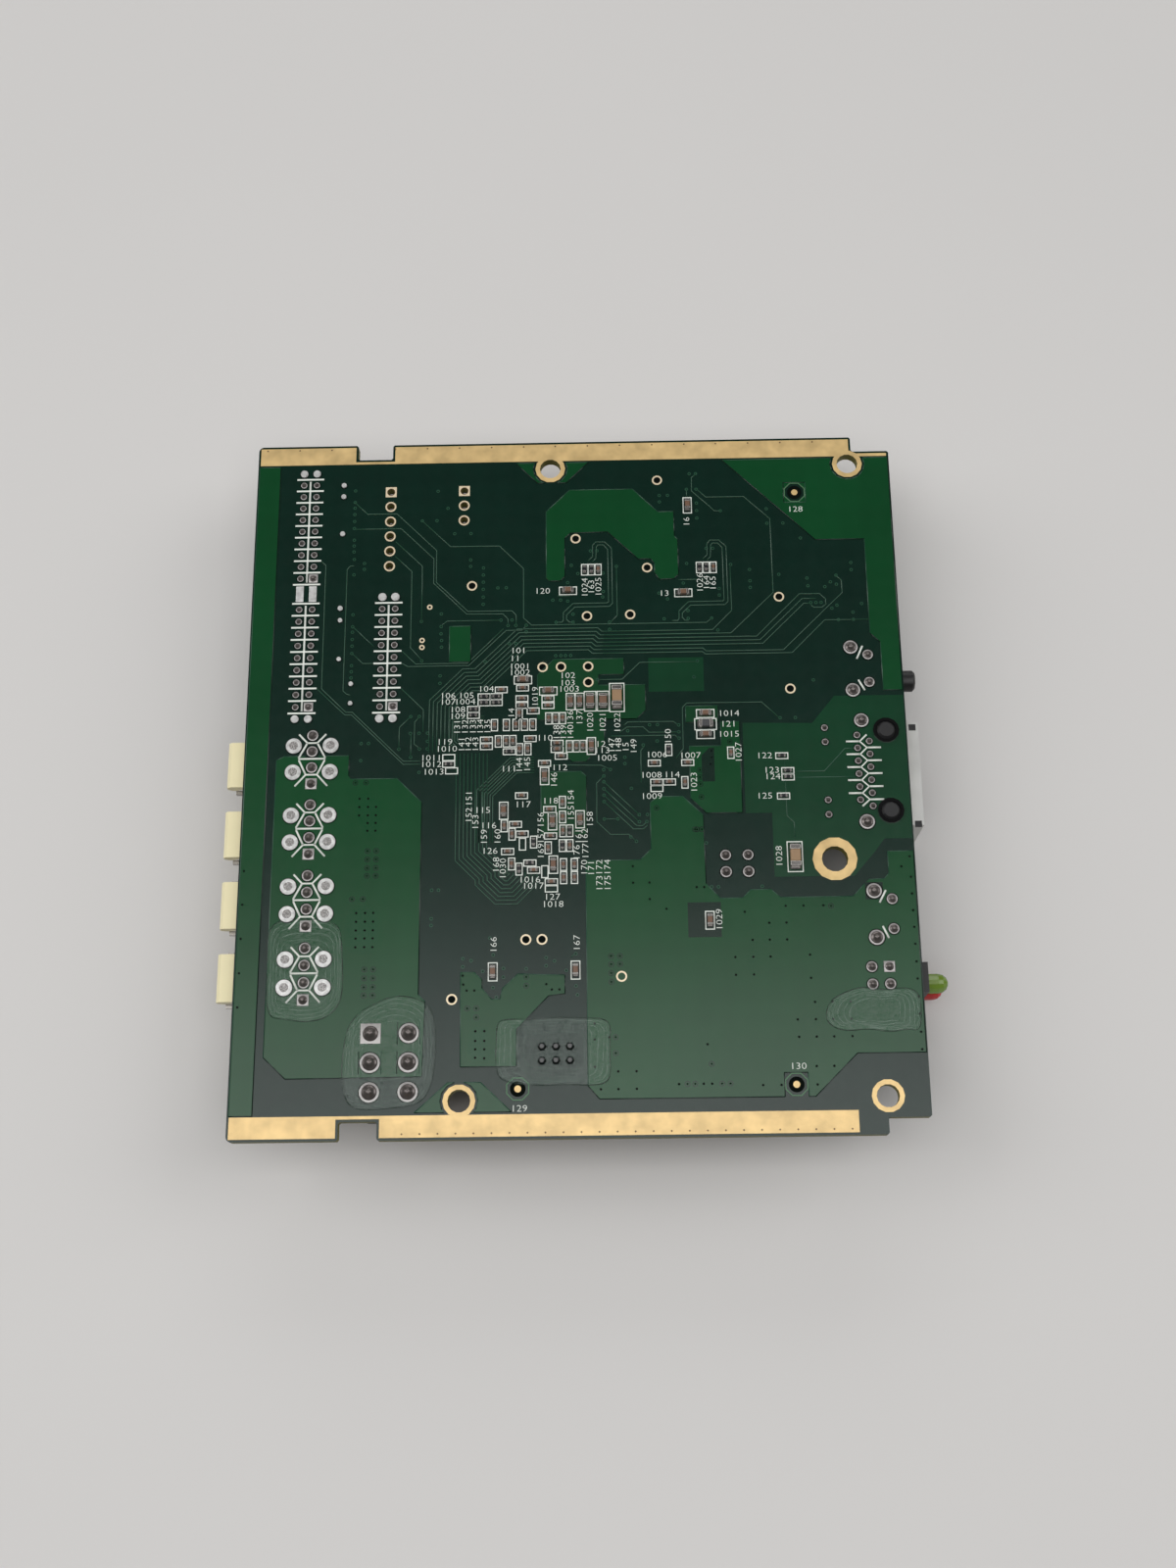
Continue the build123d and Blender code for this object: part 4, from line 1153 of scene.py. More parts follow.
@dataclass
class RoundWindows(Dressing):
    """Mask in the corners of the copper fields' square windows, so that each opening is round."""

    sides: int = 24
    pad_margin: float = 0.13
    window_margin: float = 0.25
    aiming_window: float = 3.5
    aiming_hole: float = 1.6
    aiming_sides: int = 8
    test_reach: float = 0.12
    thickness: float = 0.0525

    def within_copper(self, place: Vector, window: float) -> bool:
        """Tell whether a copper field lies past all four corners of a window."""
        reach = (window / 2 + self.test_reach) * MILLIMETRE
        above = place + UP * MILLIMETRE
        corners = [above + Vector((x, y, 0)) for x, y in crossings((-reach, reach), (-reach, reach))]
        return all(nodes["copper_pours"].ray_cast(corner, -UP)[0] for corner in corners)

    def dress(self) -> None:
        """Fill the windows that lie wholly within a copper field."""
        groups: dict[tuple[float, float, int], list[Spot]] = {}
        for pad in solids_of("solder_fillets") + solids_of("thief_pads"):
            if not pad.long:
                width = round(pad.length / MILLIMETRE, 1)
                key = (width + 2 * self.window_margin, width / 2 + self.pad_margin, self.sides)
                groups.setdefault(key, []).append((self.board.over(pad.middle, 0), 0.0))
        marks = self.board.spots(AimingSurrounds.places, 0.0)
        groups[(self.aiming_window, self.aiming_hole, self.aiming_sides)] = marks
        sets = []
        for (window, hole, sides), places in groups.items():
            kept = [(place, turn) for place, turn in places if self.within_copper(place, window)]
            if kept:
                plate = pierced_square(window / 2, hole, self.thickness, sides, "window", 0.5)
                sets.append(stamp(plate, kept, "windows"))
        plates = join(sets, "round_windows")
        self.hand_in(plates, "solder_mask_light")


@dataclass
class CopperZones(Dressing):
    """Copper under the mask that the frame leaves out: small fields, and inner layers that show through."""

    FIELDS: ClassVar[tuple[Line, ...]] = (
        (
            (44.1, 62.1), (44.1, 69.4), (46.6, 71.9), (57.3, 71.9), (57.3, 69.3), (53.4, 69.3), (53.4, 67.6),
            (60.5, 67.6), (60.5, 63.5), (59.1, 62.1), (54.2, 62.1), (54.2, 58.2), (52.6, 56.9), (51.4, 55.4),
            (49.3, 55.4), (47.6, 57.0), (47.6, 62.1),
        ),
        ((44.6, 44.0), (51.4, 44.0), (51.4, 53.1), (50.6, 53.9), (44.6, 53.9)),
        ((66.5, 61.4), (71.4, 61.4), (71.4, 64.0), (66.5, 64.0)),
        ((66.6, 31.1), (70.2, 31.1), (70.2, 32.9), (66.6, 32.9)),
        ((66.6, 28.9), (70.2, 28.9), (70.2, 30.6), (66.6, 30.6)),
    )
    INNER_FIELDS: ClassVar[tuple[Line, ...]] = (
        (
            (75.0, 61.2), (85.5, 61.0), (89.0, 65.3), (99.4, 65.3), (99.4, 42.8), (95.3, 42.8), (93.6, 40.6),
            (90.6, 37.2), (78.9, 37.2), (78.9, 47.0), (75.0, 47.0),
        ),
        ((61.0, 66.4), (69.4, 66.4), (69.4, 71.9), (61.0, 71.9)),
    )
    PATCHES: ClassVar[tuple[Line, ...]] = (
        ((66.0, 28.3), (70.85, 28.3), (70.85, 33.5), (66.0, 33.5)),
        ((68.7, 52.0), (70.6, 52.0), (70.6, 57.3), (69.9, 57.3), (68.7, 56.1)),
    )
    EARTH_HOLE: ClassVar[Point] = (87.85, 39.8)
    earth_opening: float = 2.2
    thickness: float = 0.006

    def sheet(self, outlines: Sequence[Line], layer: Layer, name: str) -> bpy.types.Object:
        """Lay thin flat copper under the mask.

        Args:
            outlines: Corners of each field on the grid.
            layer: The height that it lies at.
            name: Its name.

        Returns:
            The sheet.
        """
        placed = [[self.board.at(x, y)[:2] for x, y in outline] for outline in outlines]
        plate = flat_plate(placed, self.thickness * MILLIMETRE, name)
        plate.data.transform(Matrix.Translation(UP * self.board.at(0, 0, layer.value).z))
        return plate

    def dress(self) -> None:
        """Lay each kind of zone with its finish."""
        inner = (*self.INNER_FIELDS, circle(self.earth_opening, 24, self.EARTH_HOLE))
        kinds = (
            ("inner_fields", inner, Layer.INNER_COPPER, "mask_over_inner_copper"),
            ("small_fields", self.FIELDS, Layer.TRACE, "mask_over_field"),
            ("bare_patches", self.PATCHES, Layer.POUR, "mask_over_gap_and_step_shade"),
        )
        for name, outlines, layer, finish in kinds:
            plate = self.sheet(outlines, layer, name)
            self.hand_in(plate, "solder_mask_light", finish)


@dataclass
class ZoneEdges(Dressing):
    """Fine lines where copper fields step up, dark on the sides away from the light, pale on the others."""

    width: float = 0.13
    thickness: float = 0.01
    shortest: float = 0.75
    light_from: Point = (-0.35, 1.0)
    pad_reach: float = 0.35
    corner_steps: float = 1e6

    def beside_pad(self, spot: Vector, pads: Sequence[Solid]) -> bool:
        """Tell whether a spot lies on the edge of a pad's window."""
        reach = self.pad_reach * MILLIMETRE
        offsets = ((spot - pad.middle, pad.size / 2) for pad in pads)
        return any(abs(away.x) < half.x + reach and abs(away.y) < half.y + reach for away, half in offsets)

    def steps(
        self, mesh: bpy.types.Mesh, pads: Sequence[Solid]
    ) -> tuple[list[list[Vector]], list[list[Vector]]]:
        """Find a field's long outer edges on its top, but for those of pads, by the side that they face.

        Args:
            mesh: Mesh of a flat piece that stands at the origin.
            pads: Pads whose windows get no line.

        Returns:
            The dark edges and the pale edges, each as its two ends.
        """
        found: dict[frozenset, list[tuple[Vector, Vector]]] = {}
        for polygon in mesh.polygons:
            if polygon.normal.z < FACING or polygon.center.z < self.board.high.z:
                continue
            corners = [mesh.vertices[index].co for index in polygon.vertices]
            for start, end in zip(corners, corners[1:] + corners[:1]):
                key = frozenset(
                    tuple(round(value * self.corner_steps) for value in corner) for corner in (start, end)
                )
                found.setdefault(key, []).append((start.copy(), end.copy()))
        dark = []
        pale = []
        for sides in found.values():
            start, end = sides[0]
            way = end - start
            if len(sides) > 1 or way.length < self.shortest * MILLIMETRE:
                continue
            if self.beside_pad((start + end) / 2, pads):
                continue
            lit = way.y * self.light_from[0] - way.x * self.light_from[1]
            lift = UP * self.thickness * MILLIMETRE / 2
            (pale if lit > 0 else dark).append([start + lift, end + lift])
        return dark, pale

    def dress(self) -> None:
        """Line the edges of the copper fields."""
        pads = solids_of("solder_fillets") + solids_of("thief_pads")
        fields = [nodes["copper_pours"], bpy.data.objects["small_fields"]]
        sorted_edges = [self.steps(piece.data, pads) for piece in fields]
        # The dark lines are painted shade and the pale lines a painted highlight along each copper step
        kinds = (("dark_field_edges", 0, "mask_over_gap_and_step_shade"), ("pale_field_edges", 1, "mask_over_trace_and_step_highlight"))
        for name, side, finish in kinds:
            lines = [line for edges in sorted_edges for line in edges[side]]
            piece = ribbons(lines, self.width, self.thickness, name)
            self.hand_in(piece, "solder_mask_light", finish)


@dataclass
class Traces(Dressing):
    """Fine copper lines under the mask, as single runs and as buses of parallel lines."""

    width: float = 0.14
    rise: float = 0.03
    RUNS: ClassVar[tuple[Line, ...]] = (
        (
            (15.4, 98.9), (17.5, 96.8), (22.1, 96.8), (28.45, 90.4), (28.45, 85.0), (33.4, 80.05),
            (40.2, 80.05), (40.85, 79.3), (40.85, 77.7),
        ),
        (
            (15.7, 94.25), (22.8, 94.25), (28.05, 89.0), (28.05, 84.85), (33.2, 79.6), (38.8, 79.55),
            (39.6, 78.7), (39.6, 77.7),
        ),
        ((22.0, 92.0), (26.25, 87.8), (26.25, 78.6)),
        ((22.0, 89.5), (24.65, 86.9), (24.65, 74.2), (26.4, 72.1)),
        ((10.3, 89.0), (11.2, 88.2), (11.2, 67.7), (15.0, 63.85), (16.0, 63.85), (23.9, 55.9), (26.5, 55.9)),
        ((10.4, 67.8), (14.9, 63.4), (15.9, 63.4), (23.9, 55.4), (26.5, 55.4)),
        (
            (26.1, 95.5), (30.6, 91.0), (38.2, 91.0), (42.0, 87.1), (42.0, 78.8), (43.2, 77.6), (70.1, 77.6),
            (70.9, 78.3),
        ),
        ((15.6, 88.0), (15.0, 88.0), (14.5, 87.4), (14.5, 67.3), (15.0, 66.8), (15.6, 66.6)),
        ((15.7, 77.8), (19.0, 74.5)),
        (
            (15.7, 73.4), (17.4, 71.7), (23.3, 71.7), (24.3, 71.1), (33.6, 71.1), (39.3, 76.8), (41.7, 76.8),
            (42.4, 77.5),
        ),
        ((23.2, 73.8), (25.5, 71.5), (33.4, 71.5), (38.9, 77.1)),
        ((23.3, 67.6), (26.8, 64.1), (26.8, 60.5)),
        ((24.9, 63.0), (23.2, 61.3), (23.2, 57.9)),
        ((25.0, 56.6), (25.0, 60.2)),
        ((26.2, 62.9), (25.5, 62.1), (25.5, 58.6), (26.3, 57.9)),
        ((29.3, 77.7), (30.2, 78.5), (38.4, 78.5)),
        ((54.3, 76.4), (71.0, 76.4), (74.0, 79.5), (74.0, 86.8)),
        (
            (54.3, 75.8), (73.8, 75.8), (80.5, 82.4), (80.5, 94.9), (76.5, 98.8), (70.6, 98.8),
            (69.2, 100.2),
        ),
        (
            (54.3, 75.2), (77.7, 75.2), (84.5, 82.1), (87.6, 82.1), (88.5, 81.2), (88.5, 80.3), (87.9, 79.8),
            (86.6, 79.8), (86.2, 80.3),
        ),
        ((54.3, 74.6), (78.2, 74.6), (84.9, 81.3), (87.0, 81.3)),
        ((54.3, 74.0), (78.6, 74.0), (85.1, 80.5), (86.0, 80.5)),
        ((54.3, 73.4), (69.4, 73.4), (69.9, 72.9), (81.7, 72.9), (91.1, 82.2), (91.1, 84.3), (90.2, 85.1)),
        ((54.3, 72.8), (69.3, 72.8), (69.8, 72.4), (83.0, 72.4), (88.2, 77.7), (94.9, 77.7)),
        ((69.2, 102.9), (68.4, 102.2), (68.4, 99.9), (71.9, 96.4), (72.8, 96.4)),
        ((66.0, 84.8), (70.0, 84.8)),
        ((67.6, 100.2), (67.6, 99.0)),
        ((56.4, 87.2), (56.4, 79.0), (55.4, 77.9)),
        ((53.2, 68.5), (57.0, 68.5), (59.7, 71.2), (68.4, 71.2)),
        ((64.9, 55.8), (66.0, 57.2), (66.0, 63.8), (66.7, 64.5), (78.0, 64.5), (80.6, 61.9)),
        ((57.2, 61.1), (57.7, 61.6), (64.6, 61.6), (65.3, 61.0)),
        ((56.5, 60.0), (57.6, 60.8), (60.0, 60.8), (60.9, 59.9), (65.3, 59.9)),
        ((55.2, 59.4), (64.8, 59.4), (65.3, 58.9)),
        ((59.6, 52.0), (59.6, 57.0), (60.2, 57.8)),
        ((54.0, 52.2), (59.2, 47.0)),
        ((54.0, 51.1), (59.1, 46.0)),
        ((54.0, 50.1), (58.8, 45.3), (59.7, 45.3), (60.3, 45.9)),
        ((54.0, 49.1), (58.3, 44.8), (59.8, 44.8), (60.4, 45.4)),
        ((54.0, 53.1), (52.9, 52.0), (52.9, 46.0), (54.9, 44.0), (57.6, 44.0), (58.6, 43.0)),
        ((54.0, 46.4), (56.0, 46.4)),
        ((44.3, 55.0), (53.6, 54.8), (54.9, 54.2)),
        ((82.6, 53.4), (87.0, 53.4), (90.2, 56.9), (91.6, 56.9)),
        ((82.6, 52.45), (91.6, 52.45)),
        ((81.1, 55.2), (81.1, 46.5), (82.1, 45.5), (82.1, 43.1)),
        ((49.5, 26.2), (48.9, 25.6)),
        ((47.2, 82.4), (49.2, 82.4)),
    )
    LOOPS: ClassVar[tuple[Line, ...]] = (
        (
            (0.0, 0.0), (0.9, 0.0), (1.1, 0.3), (1.1, 1.6), (2.6, 3.1), (7.9, 3.1), (8.1, 3.3), (8.1, 12.1),
            (7.4, 12.9), (6.6, 12.9), (6.3, 12.6), (6.2, 10.6), (5.7, 10.0),
        ),
        (
            (2.6, 0.0), (2.0, 0.0), (1.6, 0.5), (1.6, 1.2), (2.9, 2.5), (8.2, 2.5), (8.7, 3.0), (8.7, 12.3),
            (7.6, 13.4), (6.2, 13.4), (5.7, 12.8), (5.7, 10.9), (5.0, 10.2),
        ),
    )
    LOOP_PLACES: ClassVar[tuple[Point, ...]] = ((47.0, 78.0), (64.8, 78.0))
    BUSES: ClassVar[tuple[tuple[Line, int, float], ...]] = (
        (
            (
                (27.7, 57.2), (27.7, 65.6), (32.7, 70.6), (34.6, 70.6), (41.0, 77.0), (53.4, 77.0),
                (54.0, 76.4), (54.3, 76.4),
            ),
            7,
            -0.6,
        ),
        (
            (
                (31.9, 57.0), (31.9, 40.3), (34.9, 37.3), (34.9, 36.6), (37.8, 33.65), (41.1, 33.65),
                (44.0, 36.6), (44.0, 38.4),
            ),
            9,
            0.58,
        ),
        (((35.0, 43.0), (35.0, 51.2), (40.0, 56.2), (43.6, 56.2)), 7, -0.4),
        (((36.0, 62.9), (31.4, 62.9), (30.8, 62.3), (30.8, 58.6), (31.5, 57.9)), 4, 0.4),
    )

    def beside(self, line: Line, distance: float) -> list[Point]:
        """Offset a run to its left, with its corners kept at the same angle.

        Args:
            line: Corner points of the run.
            distance: Offset in millimetres.

        Returns:
            Corner points of the parallel run.
        """
        ways = [(Vector(end) - Vector(start)).normalized() for start, end in zip(line, line[1:])]
        moved = []
        for index, point in enumerate(line):
            before = ways[max(index - 1, 0)]
            after = ways[min(index, len(ways) - 1)]
            lefts = Vector((-before.y - after.y, before.x + after.x)).normalized()
            share = max(lefts.dot(Vector((-before.y, before.x))), 0.5)
            moved.append(tuple(Vector(point) + lefts * distance / share))
        return moved

    def dress(self) -> None:
        """Lay every run, loop and bus as one piece."""
        runs = list(self.RUNS)
        for x, y in self.LOOP_PLACES:
            runs += [[(x + dx, y + dy) for dx, dy in loop] for loop in self.LOOPS]
        for line, count, pitch in self.BUSES:
            runs += [self.beside(line, pitch * number) for number in range(count)]
        lines = [[self.board.at(x, y, Layer.TRACE.value) for x, y in run] for run in runs]
        piece = ribbons(lines, self.width, self.rise, "traces")
        self.hand_in(piece, "solder_mask_light", "mask_over_trace_and_step_highlight")


@dataclass
class Vias(Dressing):
    """Small plated holes under the mask, and the open test holes with their bare rings."""

    DARK_FIELD: ClassVar[tuple[Point, ...]] = (
        (33.75, 93.2), (33.75, 88.7), (33.75, 87.6), (38.0, 83.9), (39.3, 83.9), (38.5, 78.5), (40.2, 78.5),
        (39.6, 77.6), (40.8, 77.6), (42.4, 77.6), (42.4, 76.5), (46.5, 81.7), (47.7, 81.7), (48.8, 81.5),
        (48.8, 84.6), (49.4, 87.5), (50.4, 86.1), (54.3, 86.1), (54.3, 83.0), (54.2, 82.1), (52.4, 89.9),
        (53.4, 89.9), (56.4, 87.2), (49.6, 79.3), (49.6, 78.0), (47.0, 78.0), (55.2, 77.9), (55.2, 76.7),
        (63.3, 99.2), (64.6, 99.2), (63.3, 98.1), (67.6, 100.2), (67.3, 87.5), (66.7, 84.2), (63.6, 78.3),
        (62.9, 82.6), (64.2, 81.6), (46.9, 72.5), (47.7, 72.5), (48.4, 72.5), (49.2, 72.5), (36.1, 71.7),
        (53.2, 68.5), (39.8, 74.6), (40.8, 74.6), (61.0, 61.1), (62.2, 61.1), (57.7, 60.2), (62.1, 58.5),
        (60.0, 57.9), (57.2, 56.0), (57.2, 55.0), (55.0, 54.1),
         (58.1, 51.1), (56.0, 46.4), (59.2, 47.0),
        (60.4, 47.0), (59.2, 45.9), (60.3, 45.9), (57.9, 43.6), (58.7, 42.9), (65.4, 61.0), (65.4, 59.9),
        (65.4, 58.9),
        *crossings((54.0,), (54.1, 53.1, 52.2, 51.1, 50.1, 49.1, 46.4)),
        *crossings((15.65,), (79.8, 77.8, 76.9, 75.7, 74.6, 73.4, 71.4, 70.4, 69.4)),
        *crossings((15.45,), (100.9, 98.9, 97.9, 96.8, 95.6, 94.4)),
        *crossings((15.5,), (92.4, 91.4, 90.4)),
        *crossings((35.75,), (87.3, 86.1, 84.9, 83.7, 82.4, 81.2)),
        (15.6, 89.1), (17.2, 88.4), (17.2, 87.4), (15.6, 86.5), (29.3, 79.7), (29.3, 77.6), (29.3, 76.4),
        (29.4, 75.3), (29.4, 74.2), (29.25, 69.5), (29.25, 68.3), (26.4, 72.0), (26.25, 78.5), (28.5, 100.6),
        (30.1, 97.6), (26.1, 95.5), (28.4, 95.5), (31.2, 93.2), (24.9, 63.0), (26.2, 63.0), (24.9, 60.3),
        (26.2, 60.3), (27.5, 60.3), (27.5, 59.0), (26.3, 57.8), (27.5, 57.8), (25.0, 56.5), (26.3, 54.1),
        (17.5, 58.8), (18.6, 58.8), (17.5, 56.1), (23.2, 57.8), (68.5, 71.3), (67.9, 68.7), (86.0, 67.9),
        (80.7, 61.9), (83.0, 61.9), (71.8, 76.3), (92.6, 77.7), (90.3, 77.7), (92.6, 78.9), (94.0, 80.3),
        (89.4, 79.6), (90.2, 80.1), (87.0, 80.6), (87.8, 80.6), (86.2, 80.6), (88.5, 83.2), (89.4, 84.0),
        (90.3, 83.6), (90.3, 85.1), (92.7, 87.2), (92.7, 86.0), (85.8, 84.7), (85.9, 83.4), (81.5, 85.4),
        (77.0, 86.3), (77.0, 84.4), (77.0, 83.3), (74.1, 87.2), (71.4, 90.0), (70.4, 90.0), (72.2, 83.2),
        (72.2, 82.1), (67.3, 79.6), (67.3, 78.3), (70.9, 78.3), (85.1, 91.5), (80.0, 94.1), (82.5, 94.1),
        (80.0, 96.6), (69.1, 97.8), (69.1, 96.5), (69.1, 95.2), (69.1, 100.2), (69.1, 102.9), (68.1, 102.9),
        (72.8, 96.4), (37.1, 28.6), (33.2, 25.6), (33.2, 24.4), (34.4, 25.3), (36.1, 23.7), (39.1, 24.1),
        (39.1, 22.8), (42.4, 24.0), (45.3, 25.6), (45.3, 24.4), (46.5, 25.1), (48.2, 23.7), (37.6, 26.1),
        (49.6, 26.1), (49.6, 21.4), (37.6, 21.3), (38.1, 19.9), (49.8, 20.1), (28.5, 35.9), (29.5, 35.9),
        (28.5, 31.6), (28.5, 30.6), (69.6, 35.8), (70.6, 35.8), (77.0, 35.8), (69.0, 42.5),
    )
    LIGHT_FIELD: ClassVar[tuple[Point, ...]] = (
        (42.4, 22.8), (42.4, 21.5), (33.9, 18.3), (35.2, 18.3), (35.2, 17.0), (54.7, 25.7), (56.0, 25.7),
        (54.7, 24.5), (56.0, 24.5), (54.7, 23.2), (54.7, 21.9), (55.2, 13.9), (55.2, 11.6), (65.3, 7.1),
        (66.4, 7.1), (70.2, 7.1), (71.4, 7.1), (68.8, 9.9), (86.9, 32.7), (68.5, 49.6), (67.4, 44.6),
        (68.4, 44.6), (61.8, 48.0), (67.7, 44.6), (73.0, 58.2), (70.2, 56.8), (70.2, 55.8), (70.0, 54.7),
        (68.4, 53.8), (68.4, 52.7), (68.4, 51.6),
        *crossings((16.8, 18.4), (52.6, 34.7)),
        *crossings((18.9, 20.2), (42.0, 40.7, 39.4, 38.2, 24.2, 22.9, 21.6, 20.4)),
    )
    DOTS: ClassVar[tuple[Point, ...]] = (
        (33.2, 23.1), (33.3, 21.8), (33.8, 20.9), (34.9, 20.9), (45.3, 21.7), (46.1, 20.9), (47.2, 20.9),
        (35.1, 11.2), (36.4, 11.1), (58.1, 39.1), (58.1, 36.6), (60.5, 36.6), (60.5, 34.1), (62.9, 32.6),
        (52.2, 15.9), (52.2, 13.6), (54.3, 13.9), (52.2, 9.7), (53.0, 6.5), (55.5, 6.5), (58.1, 6.5),
        (58.1, 9.0), (55.5, 9.0), (64.1, 7.1), (67.6, 7.1), (68.8, 7.1), (68.3, 12.7), (76.0, 6.8),
        (78.6, 6.8), (83.7, 6.8), (83.7, 9.4), (86.2, 9.4), (81.3, 16.1), (81.4, 13.6), (72.7, 25.3),
        (75.3, 25.3), (77.8, 25.3), (72.7, 22.7), (75.3, 22.7), (75.3, 27.8), (77.8, 27.8), (80.3, 27.8),
        (77.8, 30.3), (80.3, 30.3), (80.3, 32.8), (82.9, 32.8), (85.8, 32.8), (83.5, 25.5), (83.5, 22.1),
        (74.3, 32.0), (67.4, 35.8), (68.5, 35.8), (97.5, 38.5),
        *crossings((35.1, 36.4), (15.0, 13.6, 12.4)),
        *crossings((83.9, 86.4, 89.0), (18.6, 16.1, 13.6)),
        *crossings((17.5, 18.8), (50.1,)),
        *crossings((17.5, 18.8, 20.0), (48.8, 47.5, 32.6, 31.3, 30.0, 28.8, 27.5)),
        *crossings((18.8, 20.0), (46.3, 45.1)),
        *crossings((98.8,), (40.0, 36.9, 34.4, 31.9, 29.4, 26.9, 24.3, 21.8, 19.2, 16.7, 14.1, 11.6)),
        *crossings((0.7,), (39.2, 34.1, 29.0, 23.9, 18.9)),
    )
    TEST_HOLES: ClassVar[tuple[Point, ...]] = (
        (34.0, 84.3), (50.1, 92.0), (61.15, 86.9), (51.75, 78.95), (58.4, 79.1), (63.0, 101.85),
        (81.35, 81.65), (44.9, 70.65), (47.7, 70.65), (51.85, 70.65), (51.85, 68.1), (82.45, 66.55),
        (31.65, 19.65), (42.35, 28.3), (44.7, 28.3), (56.2, 22.7),
    )
    SMALL_TEST_HOLES: ClassVar[tuple[Point, ...]] = ((27.5, 80.85), (26.4, 75.35), (26.4, 74.2))
    via_ring: Point = (0.27, 0.12)
    field_ring: Point = (0.42, 0.3)
    test_ring: Point = (0.8, 0.55)
    small_test_ring: Point = (0.43, 0.21)
    field_hole: float = 0.14
    field_dot: float = 0.18
    ring_height: float = 0.05
    bottom_height: float = 0.02
    via_height: ClassVar[float] = 0.02

    def dress(self) -> None:
        """Set the rings and the dark holes of every kind."""
        trace, pour = Layer.TRACE.value, Layer.POUR.value
        film, height, bottom = DARK_FILM, self.ring_height, self.bottom_height
        masked = ("solder_mask_light", "mask_over_trace_and_step_highlight")
        gap = ("solder_mask_dark", "mask_over_gap_and_step_shade")
        dark = ("solder_mask_dark", "hole_shade_and_open_mask")
        gold = ("gold_plate", "ring_gold")
        drilled = ("black_plastic", "hole_shade_and_open_mask")
        small_holes, small_ring = self.SMALL_TEST_HOLES, self.small_test_ring
        # The dark discs in the vias, the dots and the test holes are painted shade that stands for the holes
        sets = (
            ("via_rings", ring(*self.via_ring, self.via_height, 10, "via"), self.DARK_FIELD, trace, *masked),
            ("via_holes", disc(self.via_ring[1], film, 8, "hole"), self.DARK_FIELD, trace, *dark),
            ("field_rings", ring(*self.field_ring, film, 12, "via"), self.LIGHT_FIELD, pour, *gap),
            ("field_holes", disc(self.field_hole, film, 8, "hole"), self.LIGHT_FIELD, pour, *dark),
            ("field_dots", disc(self.field_dot, film, 8, "hole"), self.DOTS, pour, *dark),
            ("test_rings", ring(*self.test_ring, height, 24, "ring"), self.TEST_HOLES, trace, *gold),
            ("test_dark", disc(self.test_ring[1], bottom, 16, "hole"), self.TEST_HOLES, trace, *drilled),
            ("small_test_rings", ring(*small_ring, height, 16, "ring"), small_holes, trace, *gold),
            ("small_test_dark", disc(small_ring[1], bottom, 12, "hole"), small_holes, trace, *drilled),
        )
        for name, model, points, rise, slot, extra in sets:
            piece = stamp(model, self.board.spots(points, rise), name)
            self.hand_in(piece, slot, extra)


@dataclass
class SpareHoles(Dressing):
    """Gold rings round two rows of holes that hold no pin, the first of each row on a square pad."""

    rows: dict[float, int] = field(default_factory=lambda: {21.1: 6, 32.65: 3})
    top: float = 100.55
    pitch: float = 2.54
    outer: float = 0.86
    inner: float = 0.64
    drill: float = 0.53
    thickness: float = 0.05
    wall: float = 0.05

    def dress(self) -> None:
        """Set the rings and the two square pads."""
        squares = []
        rounds = []
        for x, count in self.rows.items():
            points = [(x, self.top - self.pitch * hole) for hole in range(count)]
            first, *others = self.board.spots(points, Layer.TRACE.value)
            squares.append(first)
            rounds += others
        square = pierced_square(self.outer, self.inner, self.thickness, 20, "square_pad")
        pads = join(
            [
                stamp(square, squares, "squares"),
                stamp(ring(self.outer, self.inner, self.thickness, 24, "round"), rounds, "rounds"),
            ],
            "spare_hole_rings",
        )
        self.hand_in(pads, "gold_plate", "ring_gold")
        walls = ring(self.inner + self.wall, self.drill, self.thickness / 2, 20, "wall")
        walls = stamp(walls, squares + rounds, "spare_hole_walls")
        self.hand_in(walls, "gold_plate", "dot_brown")


@dataclass
class StripDots(Dressing):
    """Tiny brown via dots along the bare gold strips."""

    radius: float = 0.13
    far_line: float = 108.1
    far_places: Sequence[float] = (
        1.3, 6.4, 11.5, 21.6, 26.7, 31.8, 36.9, 42.0, 47.0, 52.1, 57.2, 62.3, 67.4, 72.4, 77.5, 82.6, 87.7,
    )
    near_line: float = 0.55
    near_first: float = 24.8
    near_pitch: float = 2.54
    near_count: int = 26

    def dress(self) -> None:
        """Set the dots on both strips."""
        rise = (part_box("edge_strips")[1].z - self.board.high.z) / MILLIMETRE
        points = [(x, self.far_line) for x in self.far_places]
        near_places = [self.near_first + self.near_pitch * step for step in range(self.near_count)]
        points += [(x, self.near_line) for x in near_places]
        dots = stamp(disc(self.radius, DARK_FILM, 8, "dot"), self.board.spots(points, rise), "strip_dots")
        self.hand_in(dots, "gold_plate", "dot_brown")


@dataclass
class AimingSurrounds(Dressing):
    """Dark ring and eight-sided line round each aiming mark."""

    places: Sequence[Point] = ((84.5, 99.35), (41.2, 6.7), (80.75, 6.85))
    gap: Point = (1.12, 0.5)
    frame_line: Point = (1.78, 1.6)
    line_height: float = 0.014

    def dress(self) -> None:
        """Set both round each mark."""
        level = Layer.POUR.value
        gap = ring(*self.gap, DARK_FILM, 24, "gap")
        gaps = stamp(gap, self.board.spots(self.places, level), "aiming_gaps")
        self.hand_in(gaps, "solder_mask_dark", "hole_shade_and_open_mask")
        line = ring(*self.frame_line, self.line_height, 8, "line")
        lines = stamp(line, self.board.spots(self.places, level, math.pi / 8), "aiming_lines")
        self.hand_in(lines, "solder_mask_light", "aiming_line")


